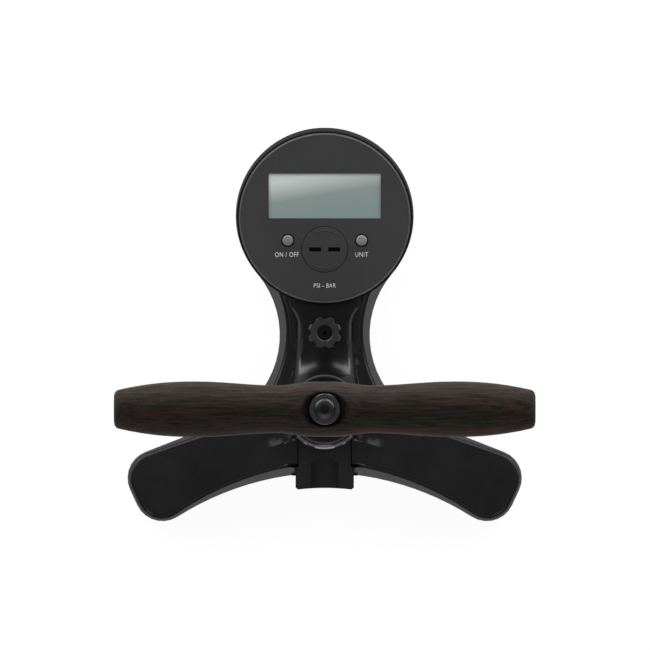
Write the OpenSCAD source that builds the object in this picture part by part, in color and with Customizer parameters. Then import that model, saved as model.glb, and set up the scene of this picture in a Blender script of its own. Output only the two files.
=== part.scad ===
/* [Base casting] */
// Height of the casting's rim above the floor
rim_z = 2; // [1.5:0.5:4]
// Distance from the pump axis to the centre of the gauge pod
pod_y = 100; // [97:1:110]
// Radius of the gauge pod at the rim
pod_r = 45.8; // [44:0.2:48]
// Half width of the neck where it is narrowest
neck_half_w = 23.5; // [22:0.5:27]
// Radius of the hollow sides of the neck
neck_arc_r = 49.3; // [46:0.5:54]
// Distance from the pump axis to the upper corner of a wing tip, across
wing_reach = 88.4; // [80:0.2:100]
// Distance from the pump axis to the upper corner of a wing tip, towards the user
wing_drop = 35.9; // [32:0.1:40]
// Corner radius of a wing tip
tip_r = 14.6; // [12:0.2:17]
// Distance between the two corner centres of a wing tip
tip_span = 8.8; // [6:0.2:12]
// Angle at which the wings sweep towards the user
wing_sweep = 24.7; // [20:0.1:30]
// Radius of the hollow edge on the user's side of a wing
wing_arc_r = 148; // [135:1:165]
// Height of the wings where they meet the hub
wing_root_h = 24; // [21:0.5:26]
// Height of the wings at their tips
wing_tip_h = 9; // [8:0.5:13]
// Height of the gauge's seat at the centre of the pod
seat_h = 30; // [28:0.5:34]
// Draft of the skirt walls, in degrees from upright
skirt_draft = 12; // [8:0.5:14]
// Radius of the edge between skirt and top
skirt_edge_r = 2.4; // [0.8:0.1:2.8]
// Thickness of the skirt walls
skirt_wall = 3.5; // [3:0.1:4.5]
// Thickness of the top wall
top_wall = 4; // [3.5:0.1:4.5]
// Thickness of the ribs under the casting
rib_t = 3; // [2:0.2:4]
// Height of the hub's upper end above the floor
hub_top_z = 58; // [54:1:68]
// Thickness of the hub's wall round the barrel
hub_wall = 1.9; // [1.6:0.1:3]
// Width of the hollow fillet round the foot of the hub
hub_flare = 2.9; // [2:0.1:4]
// Height of the flat top of the spine
spine_z = 29; // [28:0.5:31]
// Half width of the spine at the hose port
spine_half_w = 15; // [13:0.2:17]
// Radius of the hollow sweep from the spine up to the hub
spine_sweep_r = 13; // [10:0.5:13]

/* [Feet] */
// Radius of a foot pad
pad_r = 9; // [7:0.2:10]
// Height of a foot pad
pad_h = 2.5; // [2.5:0.1:4]
// Distance of the pod's foot pads from the centre line
pod_pad_x = 24; // [18:0.5:26]
// Distance of the pod's foot pads beyond the pod's centre
pod_pad_y = 18; // [10:0.5:20]

/* [Barrel and cap] */
// Outside diameter of the barrel
barrel_od = 32; // [30:0.5:36]
// Wall thickness of the barrel
barrel_wall = 2; // [1.5:0.1:2.5]
// Length of the barrel
barrel_len = 570; // [450:5:650]
// Height of the socket floor that carries the barrel
socket_z = 18; // [17:0.5:20]
// Thickness of the seal under the barrel
barrel_seal_h = 2; // [1.5:0.1:3]
// Height of the collar on top of the hub
collar_h = 7; // [5:0.5:12]
// Wall of the top cap round the barrel
cap_wall = 1.1; // [0.9:0.1:2.5]
// Length of the top cap's skirt over the barrel
cap_skirt_h = 28; // [16:1:40]
// Thickness of the top cap's end
cap_end_h = 8; // [6:0.5:12]
// Height of the bumper on the top cap
bumper_h = 8; // [5:0.5:14]

/* [Plunger] */
// Diameter of the piston rod
rod_d = 12; // [10:0.5:14]
// Diameter of the rod's end that carries the piston
rod_end_d = 8; // [6:0.5:9]
// Length of the piston
piston_h = 20; // [16:1:30]
// Height of the nut under the piston
piston_nut_h = 5; // [4:0.5:6]
// Room between the piston nut and the barrel seal with the handle down
dead_gap = 2; // [1.5:0.5:6]

/* [Handle] */
// Length of the handle
handle_len = 208; // [190:1:230]
// Diameter in the middle
handle_mid_d = 27.2; // [26.6:0.2:30]
// Diameter at the waists
handle_waist_d = 23.6; // [22:0.2:25]
// Largest diameter of the grips
handle_grip_d = 27.5; // [25:0.5:30]
// Diameter where the end rounding starts
handle_end_d = 19.6; // [16:0.2:22]
// Half length of the plain middle
handle_mid_half = 5; // [3:0.5:8]
// Distance of a waist from the middle
handle_waist_x = 23; // [18:0.5:28]
// Distance of the thickest part of a grip from the middle
handle_grip_x = 64; // [55:1:70]
// Distance from the saddle's foot to the handle
saddle_drop = 12; // [10:0.5:16]
// Diameter of the handle bolt
bolt_d = 6; // [5:0.5:7]
// Diameter of the handle bolt's head
bolt_head_d = 10.6; // [9:0.2:12]
// Diameter of the handle washer
washer_d = 15.4; // [14:0.2:16]
// Depth of the washer's seat below the top of the handle
recess_depth = 3.7; // [3:0.1:5]

/* [Gauge] */
// Angle at which the gauge leans towards the user
gauge_tilt = 9; // [6:0.5:10]
// Distance from the pump axis to the centre of the gauge's foot
gauge_y = 102.5; // [101:0.1:103]
// Largest diameter of the gauge
gauge_d = 92.6; // [90:0.2:95]
// Diameter of the gauge where it sits on the pod
gauge_foot_d = 69; // [68:0.5:70]
// Height of the gauge from its seat to its face
gauge_h = 21; // [20:0.2:24]
// Diameter of the face plate
face_d = 89.4; // [88:0.2:90]
// Thickness of the face plate
face_t = 3; // [2.6:0.1:3.4]
// Width of the display window
lcd_w = 58.3; // [50:0.1:60]
// Height of the display window
lcd_h = 23.5; // [20:0.1:23.6]
// Distance from the face's centre up to the display's centre
lcd_up = 11.8; // [10.5:0.1:11.8]
// Diameter of a button
button_d = 5.5; // [4.8:0.1:6]
// Distance of the buttons from the centre line
button_x = 19.2; // [18.6:0.1:21]
// Distance from the face's centre down to the buttons
button_down = 11.6; // [9.5:0.1:13]
// Diameter of the battery cover
cover_d = 24; // [23.6:0.1:25]
// Distance from the face's centre down to the battery cover's centre
cover_down = 16.3; // [15.5:0.1:17]
// Length of the coin slot in the battery cover
coin_slot_l = 16; // [12:0.5:17]
// Width of the coin slot in the battery cover
coin_slot_w = 2.2; // [1.8:0.1:3]

/* [Hose port] */
// Distance from the pump axis to the hose port
port_y = 39.7; // [39:0.1:42]
// Diameter of the lobed nut
nut_d = 17.2; // [15.6:0.2:18]
// Number of lobes on the nut
nut_lobes = 8; // [6:1:10]
// Height of the lobed nut
nut_h = 9; // [7:0.5:12]
// Bore of the hose socket
port_bore_d = 7.8; // [7.4:0.1:8.4]
// Depth of the hose socket
port_bore_h = 7.5; // [6:0.5:8]

/* [Chuck holder] */
// Width of the holder outside the notch
holder_w = 30.4; // [29.6:0.2:33]
// Width of the holder inside the notch
holder_neck_w = 27.4; // [26.6:0.2:28]
// Distance from the pump axis to the holder's outer end
holder_reach = 42; // [40:0.5:50]
// Width of the U-shaped slot
slot_w = 13.6; // [12:0.2:14]
// Distance from the pump axis to the closed end of the slot
slot_start = 25.4; // [24.6:0.1:28]
// Radius of the closed end of the slot
slot_end_r = 9; // [7:0.5:12]
// Height of the slot's floor above the floor
slot_floor_z = 9; // [7:0.5:12]

/* [Fits] */
// Radial clearance of parts that turn or slide in each other
run_gap = 0.05; // [0.03:0.01:0.08]
// Radial clearance of parts that are fixed in each other
seat_gap = 0.02; // [0.01:0.01:0.04]
// Free space between parts that move past each other
free_gap = 0.4; // [0.3:0.05:0.8]

/* [Hidden] */
$fn = 72;

// Colours of the finishes
cast_black = [0.10, 0.10, 0.105];
satin_black = [0.14, 0.14, 0.145];
gloss_black = [0.07, 0.07, 0.075];
rubber_black = [0.05, 0.05, 0.05];
steel = [0.62, 0.63, 0.65];
dark_steel = [0.25, 0.25, 0.26];
brass = [0.72, 0.57, 0.30];
dark_wood = [0.17, 0.12, 0.11];
button_grey = [0.42, 0.42, 0.43];
lcd_grey = [0.58, 0.63, 0.61];
board_green = [0.10, 0.32, 0.18];

// Small shared amounts
eps = 0.01;
over = 1;
edge = 0.5;
screw_gap = 0.2;
screw_key_share = 0.6;

// Barrel stack, from the floor up
plug_head_h = 2.5;
barrel_r = barrel_od / 2;
bore_r = barrel_r - barrel_wall;
hub_neck_r = barrel_r + hub_wall;
hub_r = hub_neck_r + hub_flare;
hub_z0 = pad_h + plug_head_h;
hub_shoulder_rise = 1;
hub_shoulder_z = wing_root_h + hub_shoulder_rise;
barrel_z0 = socket_z + barrel_seal_h;
barrel_z1 = barrel_z0 + barrel_len;
cap_r = barrel_r + cap_wall;
cap_z0 = barrel_z1 - cap_skirt_h;
cap_z1 = barrel_z1 + cap_end_h;
bumper_z1 = cap_z1 + bumper_h;

// Plunger stack
axial_gap = 0.15;
rod_r = rod_d / 2;
rod_end_r = rod_end_d / 2;
piston_nut_z0 = barrel_z0 + dead_gap;
piston_nut_z1 = piston_nut_z0 + piston_nut_h;
piston_z0 = piston_nut_z1 + axial_gap;
piston_z1 = piston_z0 + piston_h;
rod_shoulder_z = piston_z1 + axial_gap;
piston_r = bore_r - free_gap;
ring_depth = 2.4;
ring_h = 4;
ring_land = 4;
ring_side_gap = 0.05;
ring_bevel = 0.4;
wear_bevel = 0.15;
rod_bevel = 0.3;
piston_nut_ratio = 1.75;

// Small sizes of the barrel's parts
tube_bevel = 0.3;
seal_inset = 0.3;
seal_bevel = 0.2;
guide_wall = 3;
wiper_lip = 0.8;
cap_lip = 1.4;
cap_lip_step = 0.4;
cap_groove_share = 0.2;
bumper_wall = 2.5;

// Handle stack
saddle_z0 = bumper_z1 + free_gap;
handle_z = saddle_z0 + saddle_drop + handle_mid_d / 2;
washer_t = 1.2;
washer_z0 = handle_z + handle_mid_d / 2 - recess_depth;
bolt_head_h = 3;
bolt_rim_h = 0.6;
bolt_key_r = 2.3;
bolt_key_h = 2;
rod_top_gap = 3;
rod_top_z = saddle_z0 + saddle_drop - rod_top_gap;
bolt_r = bolt_d / 2;
bolt_grip = 14;

// Pressure sensor, along the gauge's own axis from its seat
sensor_down = 28;
sensor_stem_r = 3;
sensor_reach = 14.5;
sensor_seal_r = 4.6;
sensor_seal_h = 1.6;
sensor_boss_wall = 2;
sensor_can_r = 5.2;
sensor_can_h = 5;
sensor_bore_r = 0.8;
sensor_tip_gap = 1.5;
sensor_foot_y = gauge_y - sensor_down * cos(gauge_tilt) + sensor_reach * sin(gauge_tilt);

// Valve and air gallery
plug_thread_r = 7;
plug_thread_h = 4;
plug_head_wall = 3;
plug_key_r = 4.6;
plug_key_h = 2;
valve_h = 4;
valve_z0 = socket_z - valve_h;
valve_chamfer = 1;
orifice_r = 2.5;
poppet_r = 5;
gallery_r = 2;
gallery_boss_r = 5.5;
gallery_z = hub_z0 + plug_thread_h + gallery_r;
gallery_plug_l = 6;
gallery_plug_wall = 1;
gallery_plug_r = gallery_r + gallery_plug_wall;
gallery_plug_gap = 0.5;
gallery_key_r = 1.7;
gallery_key_h = 2;
gallery_past = 5;
gallery_y1 = sensor_foot_y + gallery_past;

// Gauge stack along the gauge's own axis, measured from its seat
gauge_r = gauge_d / 2;
gauge_foot_r = gauge_foot_d / 2;
face_r = face_d / 2;
face_z0 = gauge_h - face_t;
bezel_h = 5;
flank_h = 2;
rim_join_z = face_z0 - bezel_h;
flank_z = rim_join_z - flank_h;
tub_floor = 3.5;
tub_wall = 3;
board_t = 1.6;
board_drop = 7;
board_z0 = face_z0 - board_drop;
board_z1 = board_z0 + board_t;
board_r = 36.5;
post_r = 2.8;
post_pcr = 31;
post_z0 = 6;
post_angles = [65, 115, 215, 325];
housing_screw_r = 1.5;
housing_head_r = 2.8;
housing_head_h = 1.7;
housing_seat_z = 1.9;
housing_key_r = 1.1;
gauge_screw_r = 2;
gauge_head_r = 3.6;
gauge_head_h = 2.5;
gauge_key_r = 1.7;
gauge_boss_r = 4.2;
gauge_boss_gap = 2;
gauge_screw_gap = 1;
board_stand_r = 3;
board_stand_in = 4;
post_gap = 0.3;
head_gap = 0.1;
post_bore_over = 2;
arm_share = 0.6;
gauge_screw_pcr = 22;
gauge_screw_angles = [90, 210, 330];
window_flange = 1.5;
window_flange_t = 1;
window_sink = 0.3;
window_corner_r = 0.6;
button_r = button_d / 2;
button_proud = 0.5;
button_well_gap = 0.65;
button_well_r = button_r + button_well_gap;
button_well_h = 0.8;
button_flange = 1.25;
button_flange_r = button_r + button_flange;
cover_r = cover_d / 2;
cover_flange = 1.5;
cover_skirt_r = cover_r - cover_flange;
cover_well_h = 1.5;
lug_out = 1.4;
lug_r = cover_skirt_r + lug_out;
lug_w = 5;
lug_gap = 0.3;
cover_run = 0.1;
cover_gap = 0.25;
cover_seal_t = 0.6;
cover_wall = 1.4;
cover_roof = 0.6;
cover_bevel = 0.25;
coin_slot_h = 1;
coin_bridge = 3.8;
cell_r = 10;
cell_h = 3.2;
cell_step = 1.4;
cell_lip = 0.4;
cell_round = 0.6;
cell_gap = 0.1;
cup_wall = 1.4;
cup_h = 2.4;
holder_floor_t = 0.5;

// Hose port stack
port_wall = 1.8;
port_flange = 1.2;
port_post_r = port_bore_d / 2 + port_wall;
port_flange_r = port_post_r + port_flange;
port_flange_h = 2;
port_thread_r = 5;
port_thread_h = 9;
port_boss_wall = 3;
moat_wall = 0.7;
scallop_r = 2.2;
scallop_out = 0.8;
nut_z0 = spine_z + port_flange_h + free_gap;
nut_z1 = nut_z0 + nut_h;
nut_lip_h = 1.2;
port_z1 = nut_z1 - nut_lip_h - free_gap;

// Chuck holder
pocket_t = 2;
holder_z0 = rim_z + pocket_t;
holder_drop = 0.5;
holder_z1 = wing_root_h - holder_drop;
holder_gap = 0.5;
holder_edge = 1.2;
holder_hollow = 0.9;
holder_arc_n = 6;
holder_screw_r = 1.5;
holder_screw_head_r = 2.75;
holder_screw_head_h = 3;
holder_screw_x = (holder_neck_w + slot_w) / 4;
holder_screw_z = (holder_z0 + holder_z1) / 2;
holder_screw_grip = 4;
holder_screw_sink = 1.5;
holder_screw_seat = holder_reach - holder_screw_head_h - holder_screw_sink;

// Outline of the base, built from tangent arcs
pod_c = [0, pod_y];
neck_c = [
  neck_half_w + neck_arc_r,
  pod_y - sqrt(pow(pod_r + neck_arc_r, 2) - pow(neck_half_w + neck_arc_r, 2))
];
pod_join_a = atan2(neck_c.y - pod_c.y, neck_c.x - pod_c.x);
tip_a = [wing_reach, -wing_drop];
tip_b = tip_a - tip_span * [sin(wing_sweep), cos(wing_sweep)];
tip_mid = (tip_a + tip_b) / 2;
tip_to_neck = neck_c - tip_a;
wing_edge_a = atan2(tip_to_neck.y, tip_to_neck.x)
  - acos((neck_arc_r + tip_r) / norm(tip_to_neck));
wing_arc_x = -2.5;
wing_arc_c = [
  wing_arc_x,
  tip_b.y - sqrt(pow(wing_arc_r + tip_r, 2) - pow(tip_b.x - wing_arc_x, 2))
];
wing_join_a = atan2(wing_arc_c.y - tip_b.y, wing_arc_c.x - tip_b.x);
wing_mid_a = acos(-wing_arc_x / wing_arc_r);
neck_split_a = 215;
hub_skeleton = [0, -8];

// Numbers of steps along the outline
pod_n = 18;
neck_n = 12;
bend_n = 6;
edge_n = 6;
tip_n = 7;

function mix(a, b, t) = a + (b - a) * t;
function clamp01(t) = min(1, max(0, t));
function smooth01(t) = clamp01(t) * clamp01(t) * (3 - 2 * clamp01(t));

// Unit vector at an angle
function unit(a) = [cos(a), sin(a)];

// Heights of the gauge seat plane and of the wings, blended across the hub
function seat_plane_z(y) = seat_h + (y - pod_y) * tan(gauge_tilt);
function wing_z(x) = mix(wing_root_h, wing_tip_h, clamp01((abs(x) - hub_r) / (wing_reach - hub_r)));
seat_blend_y = 32;
function top_z(p) = mix(wing_z(p.x), seat_plane_z(p.y), smooth01(p.y / seat_blend_y));

// One station of the outline: edge point, outward normal, point on the arm's middle line
function arc_stations(c, r, a0, a1, n, side, first, mids) = [
  for (i = [first:n])
    let (d = unit(mix(a0, a1, i / n)))
    [c + r * d, side * d, mids(i / n)]
];

arm_n = bend_n + edge_n;
function neck_mid(t) = mix(pod_c, hub_skeleton, t);
function wing_mid(t) = mix(hub_skeleton, tip_mid, t);

edge_start = neck_c - neck_arc_r * unit(wing_edge_a);
edge_end = tip_a + tip_r * unit(wing_edge_a);

half_outline = concat(
  arc_stations(pod_c, pod_r, 90, pod_join_a, pod_n, 1, 0, function(t) pod_c),
  arc_stations(neck_c, neck_arc_r, 180 + pod_join_a, neck_split_a, neck_n, -1, 1,
    function(t) neck_mid(t)),
  arc_stations(neck_c, neck_arc_r, neck_split_a, 180 + wing_edge_a, bend_n, -1, 1,
    function(t) wing_mid(t * bend_n / arm_n)),
  [
    for (i = [1:edge_n])
      [mix(edge_start, edge_end, i / edge_n), unit(wing_edge_a), wing_mid((bend_n + i) / arm_n)]
  ],
  arc_stations(tip_a, tip_r, wing_edge_a, -wing_sweep, tip_n, 1, 1, function(t) wing_mid(1)),
  arc_stations(tip_b, tip_r, -wing_sweep, wing_join_a, tip_n, 1, 0, function(t) wing_mid(1)),
  arc_stations(wing_arc_c, wing_arc_r, 180 + wing_join_a, wing_mid_a, arm_n, -1, 1,
    function(t) wing_mid(1 - t))
);

// A station carried over to the other side of the middle plane
function other_x(v) = [v.x == 0 ? 0 : -v.x, v.y];
function other_side(s) = [other_x(s[0]), other_x(s[1]), other_x(s[2])];

half_last = len(half_outline) - 1;
outline = concat(
  half_outline,
  [for (i = [half_last - 1:-1:1]) other_side(half_outline[i])]
);

// Skirt geometry at a station: local height, and how far the drafted wall leans in
edge_tries = 4;
function lean(h) = (h - rim_z) * tan(skirt_draft);
function inset(s, d, z) = concat(s[0] - d * s[1], z);
function edge_in(s, tries) =
  tries < 1
    ? skirt_edge_r
    : lean(top_z(s[0] - edge_in(s, tries - 1) * s[1]) - skirt_edge_r) + skirt_edge_r;
function station_h(s) = top_z(s[0] - edge_in(s, edge_tries) * s[1]);

// A ring of the outer skirt, by the angle round its top edge
function edge_ring(a) = [
  for (s = outline)
    let (h = station_h(s), foot = h - skirt_edge_r)
    inset(s, lean(foot) + skirt_edge_r * (1 - cos(a)), foot + skirt_edge_r * sin(a))
];

// A ring of the top, or of the ceiling under it, by its share of the way to the middle line
function top_ring(d, t, drop) = [
  for (s = outline)
    let (p = mix(s[0] - (edge_in(s, edge_tries) - skirt_edge_r + d) * s[1], s[2], t))
    concat(p, top_z(p) - drop)
];
function rim_ring(d) = [for (s = outline) inset(s, d, rim_z)];

shell_rings = concat(
  [for (t = [1:-0.25:0.25]) top_ring(skirt_edge_r, t, 0)],
  [for (a = [90:-22.5:0]) edge_ring(a)],
  [rim_ring(0), rim_ring(skirt_wall)],
  [for (t = [0, 0.5, 1]) top_ring(skirt_wall, t, top_wall)]
);

// Solid skin through a chain of closed rings that starts and ends on a line
module ring_skin(rings) {
  n = len(rings[0]);
  points = [for (r = rings) each r];
  quads = [
    for (k = [0:len(rings) - 2], i = [0:n - 1])
      let (j = (i + 1) % n)
      [k * n + i, k * n + j, (k + 1) * n + j, (k + 1) * n + i]
  ];
  tris = [for (q = quads) each [[q[0], q[2], q[1]], [q[0], q[3], q[2]]]];
  faces = [
    for (f = tris)
      if (points[f[0]] != points[f[1]] && points[f[1]] != points[f[2]] && points[f[2]] != points[f[0]])
        f
  ];
  polyhedron(points, faces);
}

// Solid through a row of closed sections, with flat ends
module section_loft(sections) {
  n = len(sections[0]);
  m = len(sections);
  points = [for (s = sections) each s];
  sides = [
    for (k = [0:m - 2], i = [0:n - 1])
      let (j = (i + 1) % n)
      each [
        [k * n + i, (k + 1) * n + i, (k + 1) * n + j],
        [k * n + i, (k + 1) * n + j, k * n + j]
      ]
  ];
  ends = [[for (i = [0:n - 1]) i], [for (i = [n - 1:-1:0]) (m - 1) * n + i]];
  polyhedron(points, concat(sides, ends));
}

// Round part from half profile points [radius, height]
module turned(profile) {
  rotate_extrude() polygon(profile);
}

// Ring with chamfered edges
module bevel_ring(r_in, r_out, z0, z1, bevel) {
  turned([
    [r_in + bevel, z0], [r_out - bevel, z0], [r_out, z0 + bevel], [r_out, z1 - bevel],
    [r_out - bevel, z1], [r_in + bevel, z1], [r_in, z1 - bevel], [r_in, z0 + bevel]
  ]);
}

// Upright cylinder between two heights
module rod_between(r, z0, z1) {
  translate([0, 0, z0]) cylinder(r = r, h = z1 - z0);
}

// Puts children into the leaning frame of the gauge
module on_gauge() {
  translate([0, gauge_y, seat_plane_z(gauge_y)]) rotate([gauge_tilt, 0, 0]) children();
}

module at_angles(r, angles) {
  for (a = angles) translate([r * cos(a), r * sin(a), 0]) children();
}

module both_sides() {
  for (side = [0, 1]) mirror([side, 0, 0]) children();
}

// Height of the spine's top along its length
sweep_y = hub_neck_r + spine_sweep_r;
function spine_top_z(y) =
  y >= sweep_y
    ? spine_z
    : spine_z + spine_sweep_r - sqrt(max(0, pow(spine_sweep_r, 2) - pow(min(spine_sweep_r, sweep_y - y), 2)));
spine_spread = 0.0035;
spine_waist_past = 2;
spine_waist_y = port_y + spine_waist_past;
spine_flare = 4.7;
spine_flare_l = 11;
spine_flare_past = 3.85;
spine_flare_y = spine_waist_y + spine_flare_past;
spine_foot_sink = 0.3;
function spine_foot_w(y) =
  spine_half_w + spine_spread * pow(min(0, y - spine_waist_y), 2)
  + spine_flare * smooth01((y - spine_flare_y) / spine_flare_l);
spine_shoulder = 4;
spine_top_n = 4;
spine_sink = 2.5;
spine_root_z = seat_plane_z(port_y) - spine_sink;
spine_end_y = gauge_y - gauge_foot_r * cos(gauge_tilt) - 1;

// One section across the spine, with rounded shoulders
function spine_section(y) =
  let (
    w = spine_foot_w(y),
    w1 = w - spine_shoulder,
    z0 = seat_plane_z(max(y, seat_blend_y)) - spine_foot_sink,
    z1 = spine_top_z(norm([w1, y])),
    flank = [for (a = [0:22.5:67.5]) [w - spine_shoulder * (1 - cos(a)), mix(z0, z1, sin(a))]]
  )
  concat(
    [[-w, y, spine_root_z]],
    [for (p = flank) [-p.x, y, p.y]],
    [for (t = [-1:1 / spine_top_n:1]) [w1 * t, y, spine_top_z(norm([w1 * t, y]))]],
    [for (k = [len(flank) - 1:-1:0]) [flank[k].x, y, flank[k].y]],
    [[w, y, spine_root_z]]
  );

module spine() {
  sweep_steps = [for (a = [0:11.25:90]) hub_neck_r + spine_sweep_r * (1 - cos(a))];
  run_steps = [for (t = [0.1:0.1:1]) mix(sweep_y, spine_end_y, t)];
  hub_steps = [for (t = [0.5:0.125:0.875]) hub_neck_r * t];
  section_loft([for (y = concat(hub_steps, sweep_steps, run_steps)) spine_section(y)]);
}

// Hub with a hollow fillet round its foot
module hub_body() {
  flare_h = 2 * hub_flare;
  flare = [
    for (a = [0:15:90])
      [hub_r - hub_flare * sin(a), hub_shoulder_z + flare_h * (1 - cos(a))]
  ];
  turned(concat(
    [[0, hub_z0], [hub_r, hub_z0]], flare,
    [[hub_neck_r, hub_top_z - edge], [hub_neck_r - edge, hub_top_z], [0, hub_top_z]]
  ));
}

// Shoulders that fall from the hub onto the wings, with a crease on the user's side
shoulder_h = 9;
shoulder_start = 15;
shoulder_end = 40;
shoulder_crease = 1.5;
shoulder_crest = 7.5;
shoulder_back = 14;
shoulder_spread = 0.32;
shoulder_sink = 0.3;
shoulder_root = 3;
shoulder_n = 4;
wing_a = atan2(tip_mid.y - hub_skeleton.y, tip_mid.x - hub_skeleton.x);

shoulder_l = shoulder_end - shoulder_start;

function shoulder_fall(s) = shoulder_h * pow(1 - clamp01((s - shoulder_start) / shoulder_l), 2);
function shoulder_back_at(s) = shoulder_back + shoulder_spread * (shoulder_end - s);

// Point of a shoulder by its distance along the wing, across it, and above the wing's top
function shoulder_point(s, t, up) =
  let (p = hub_skeleton + s * unit(wing_a) + t * unit(wing_a + 90))
  [p.x, p.y, top_z(p) + up];

// One section across a shoulder
function shoulder_section(s) =
  let (h = shoulder_fall(s), t0 = -shoulder_crease, t2 = shoulder_back_at(s))
  concat(
    [shoulder_point(s, t0, -shoulder_root)],
    [
      for (u = [0:1 / shoulder_n:1])
        shoulder_point(s, mix(t0, shoulder_crest, u), h * sin(90 * u) - shoulder_sink)
    ],
    [
      for (u = [1 / shoulder_n:1 / shoulder_n:1])
        shoulder_point(s, mix(shoulder_crest, t2, u), h * cos(90 * u) - shoulder_sink)
    ],
    [shoulder_point(s, t2, -shoulder_root)]
  );

module wing_shoulder() {
  steps = 8;
  section_loft([
    for (k = [0:steps]) shoulder_section(mix(shoulder_end, shoulder_start - hub_flare, k / steps))
  ]);
}

// Rib along a wing, following the top
module wing_rib() {
  reach = norm(tip_mid);
  a = atan2(tip_mid.y, tip_mid.x);
  z0 = 2 * rim_z;
  rotate([0, 0, a]) rotate([90, 0, 0]) translate([0, 0, -rib_t / 2]) linear_extrude(rib_t)
    polygon([
      [hub_r - over, z0], [reach, z0], [reach, wing_z(tip_mid.x) - top_wall / 2],
      [hub_r - over, wing_root_h - top_wall / 2]
    ]);
}

// Web over the air gallery, up to the ceiling
module neck_rib() {
  y0 = hub_neck_r;
  y1 = gallery_y1 + gallery_plug_l;
  translate([-rib_t / 2, 0, 0]) rotate([90, 0, 90]) linear_extrude(rib_t)
    polygon([
      [y0, gallery_z], [y1, gallery_z], [y1, seat_plane_z(y1) - top_wall / 2],
      [seat_blend_y, seat_plane_z(seat_blend_y) - top_wall / 2],
      [y0, wing_root_h - top_wall]
    ]);
}

// Edge of the wings on the user's side
function wing_edge_y(x) = wing_arc_c.y + sqrt(pow(wing_arc_r, 2) - pow(x - wing_arc_c.x, 2));
holder_step_y = wing_edge_y(holder_w / 2) - holder_gap;

// Floor of the pocket that the holder stands in
module pocket_floor() {
  w = holder_neck_w + 2 * holder_gap + 2 * rib_t;
  translate([-w / 2, holder_step_y, pad_h]) cube([w, -holder_step_y - hub_r / 2, holder_z0 - pad_h]);
}

// Walls on both sides of the holder's notch
module notch_walls() {
  x0 = holder_neck_w / 2 + holder_gap;
  y1 = wing_edge_y(x0);
  for (side = [-1, 1])
    translate([side * (x0 + rib_t / 2) - rib_t / 2, y1 + skirt_wall, rim_z])
      cube([rib_t, -y1 - skirt_wall - hub_r / 2, wing_root_h - top_wall / 2 - rim_z]);
}

module holder_notch() {
  x0 = holder_neck_w / 2 + holder_gap;
  y0 = -holder_reach - tip_r;
  translate([-x0, y0, -over]) cube([2 * x0, -y0 - hub_r / 2, wing_root_h + hub_r]);
}

// Places of the feet, on the floor
wing_feet = [tip_mid, other_x(tip_mid)];
pod_feet = [[pod_pad_x, pod_y + pod_pad_y], [-pod_pad_x, pod_y + pod_pad_y]];
foot_boss = 1.5;
hub_pad_in = 6;
hub_pad_r = hub_r - hub_pad_in;

module foot_bosses() {
  for (p = wing_feet) translate([p.x, p.y, pad_h])
    cylinder(r = tip_r - skirt_wall, h = wing_tip_h - pad_h - top_wall / 2);
  for (p = pod_feet) translate([p.x, p.y, pad_h])
    cylinder(r = pad_r + foot_boss, h = seat_plane_z(p.y - pad_r) - pad_h - top_wall / 2);
}

// Bosses for the drilled air passages
module air_bosses() {
  y1 = gallery_y1 + gallery_plug_l;
  translate([0, 0, gallery_z]) rotate([-90, 0, 0]) cylinder(r = gallery_boss_r, h = y1);
  translate([0, port_y, gallery_z])
    cylinder(r = port_thread_r + port_boss_wall, h = spine_root_z - gallery_z + over);
  on_gauge() translate([0, -sensor_down, -sensor_reach + over])
    cylinder(r = sensor_seal_r + sensor_boss_wall, h = sensor_reach - over - top_wall / 2);
}

module air_passages() {
  z0 = gallery_z;
  thread_z0 = spine_z - port_thread_h;
  translate([0, 0, z0]) rotate([-90, 0, 0]) cylinder(r = gallery_r, h = gallery_y1 + eps);
  translate([0, gallery_y1, z0]) rotate([-90, 0, 0])
    cylinder(r = gallery_plug_r + seat_gap, h = gallery_plug_l + over);
  translate([0, port_y, z0]) cylinder(r = gallery_r, h = spine_z - z0);
  translate([0, port_y, thread_z0]) cylinder(r = port_thread_r + seat_gap, h = port_thread_h + over);
  on_gauge() translate([0, -sensor_down, 0]) {
    rod_between(sensor_stem_r + seat_gap, -sensor_reach, over);
    rod_between(sensor_seal_r + seat_gap, -sensor_seal_h, over);
  }
}

module hub_bores() {
  rod_between(barrel_r + seat_gap, socket_z, hub_top_z + over);
  rod_between(plug_thread_r + seat_gap, hub_z0 - over, socket_z + over);
}

// Room for the gauge above its seat, so that the spine tucks in under it
module gauge_room() {
  z0 = edge;
  on_gauge() turned([
    [0, z0], [mix(gauge_foot_r, gauge_r, z0 / flank_z) + seat_gap, z0], [gauge_r + seat_gap, flank_z],
    [gauge_r + seat_gap, gauge_h], [0, gauge_h]
  ]);
}

module holder_screw_holes() {
  for (side = [-1, 1]) translate([side * holder_screw_x, -hub_r - over, holder_screw_z]) rotate([-90, 0, 0])
    cylinder(r = holder_screw_r + seat_gap, h = hub_r - sqrt(pow(hub_r, 2) - pow(holder_screw_x, 2))
      + holder_screw_grip + over);
}

module base_casting() {
  color(cast_black) difference() {
    union() {
      difference() {
        union() {
          ring_skin(shell_rings);
          both_sides() wing_rib();
          notch_walls();
          foot_bosses();
          both_sides() wing_shoulder();
        }
        holder_notch();
      }
      pocket_floor();
      hub_body();
      spine();
      neck_rib();
      air_bosses();
    }
    hub_bores();
    air_passages();
    gauge_room();
    holder_screw_holes();
    on_gauge() at_angles(gauge_screw_pcr, gauge_screw_angles)
      rod_between(gauge_screw_r + screw_gap, -2 * top_wall, over);
  }
}

module foot_pad(p, r) {
  translate([p.x, p.y, 0]) turned([
    [0, 0], [r - edge, 0], [r, edge], [r, pad_h], [0, pad_h]
  ]);
}

module foot_pads() {
  color(rubber_black) {
    for (p = concat(wing_feet, pod_feet)) foot_pad(p, pad_r);
    foot_pad([0, 0], hub_pad_r);
  }
}

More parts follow.
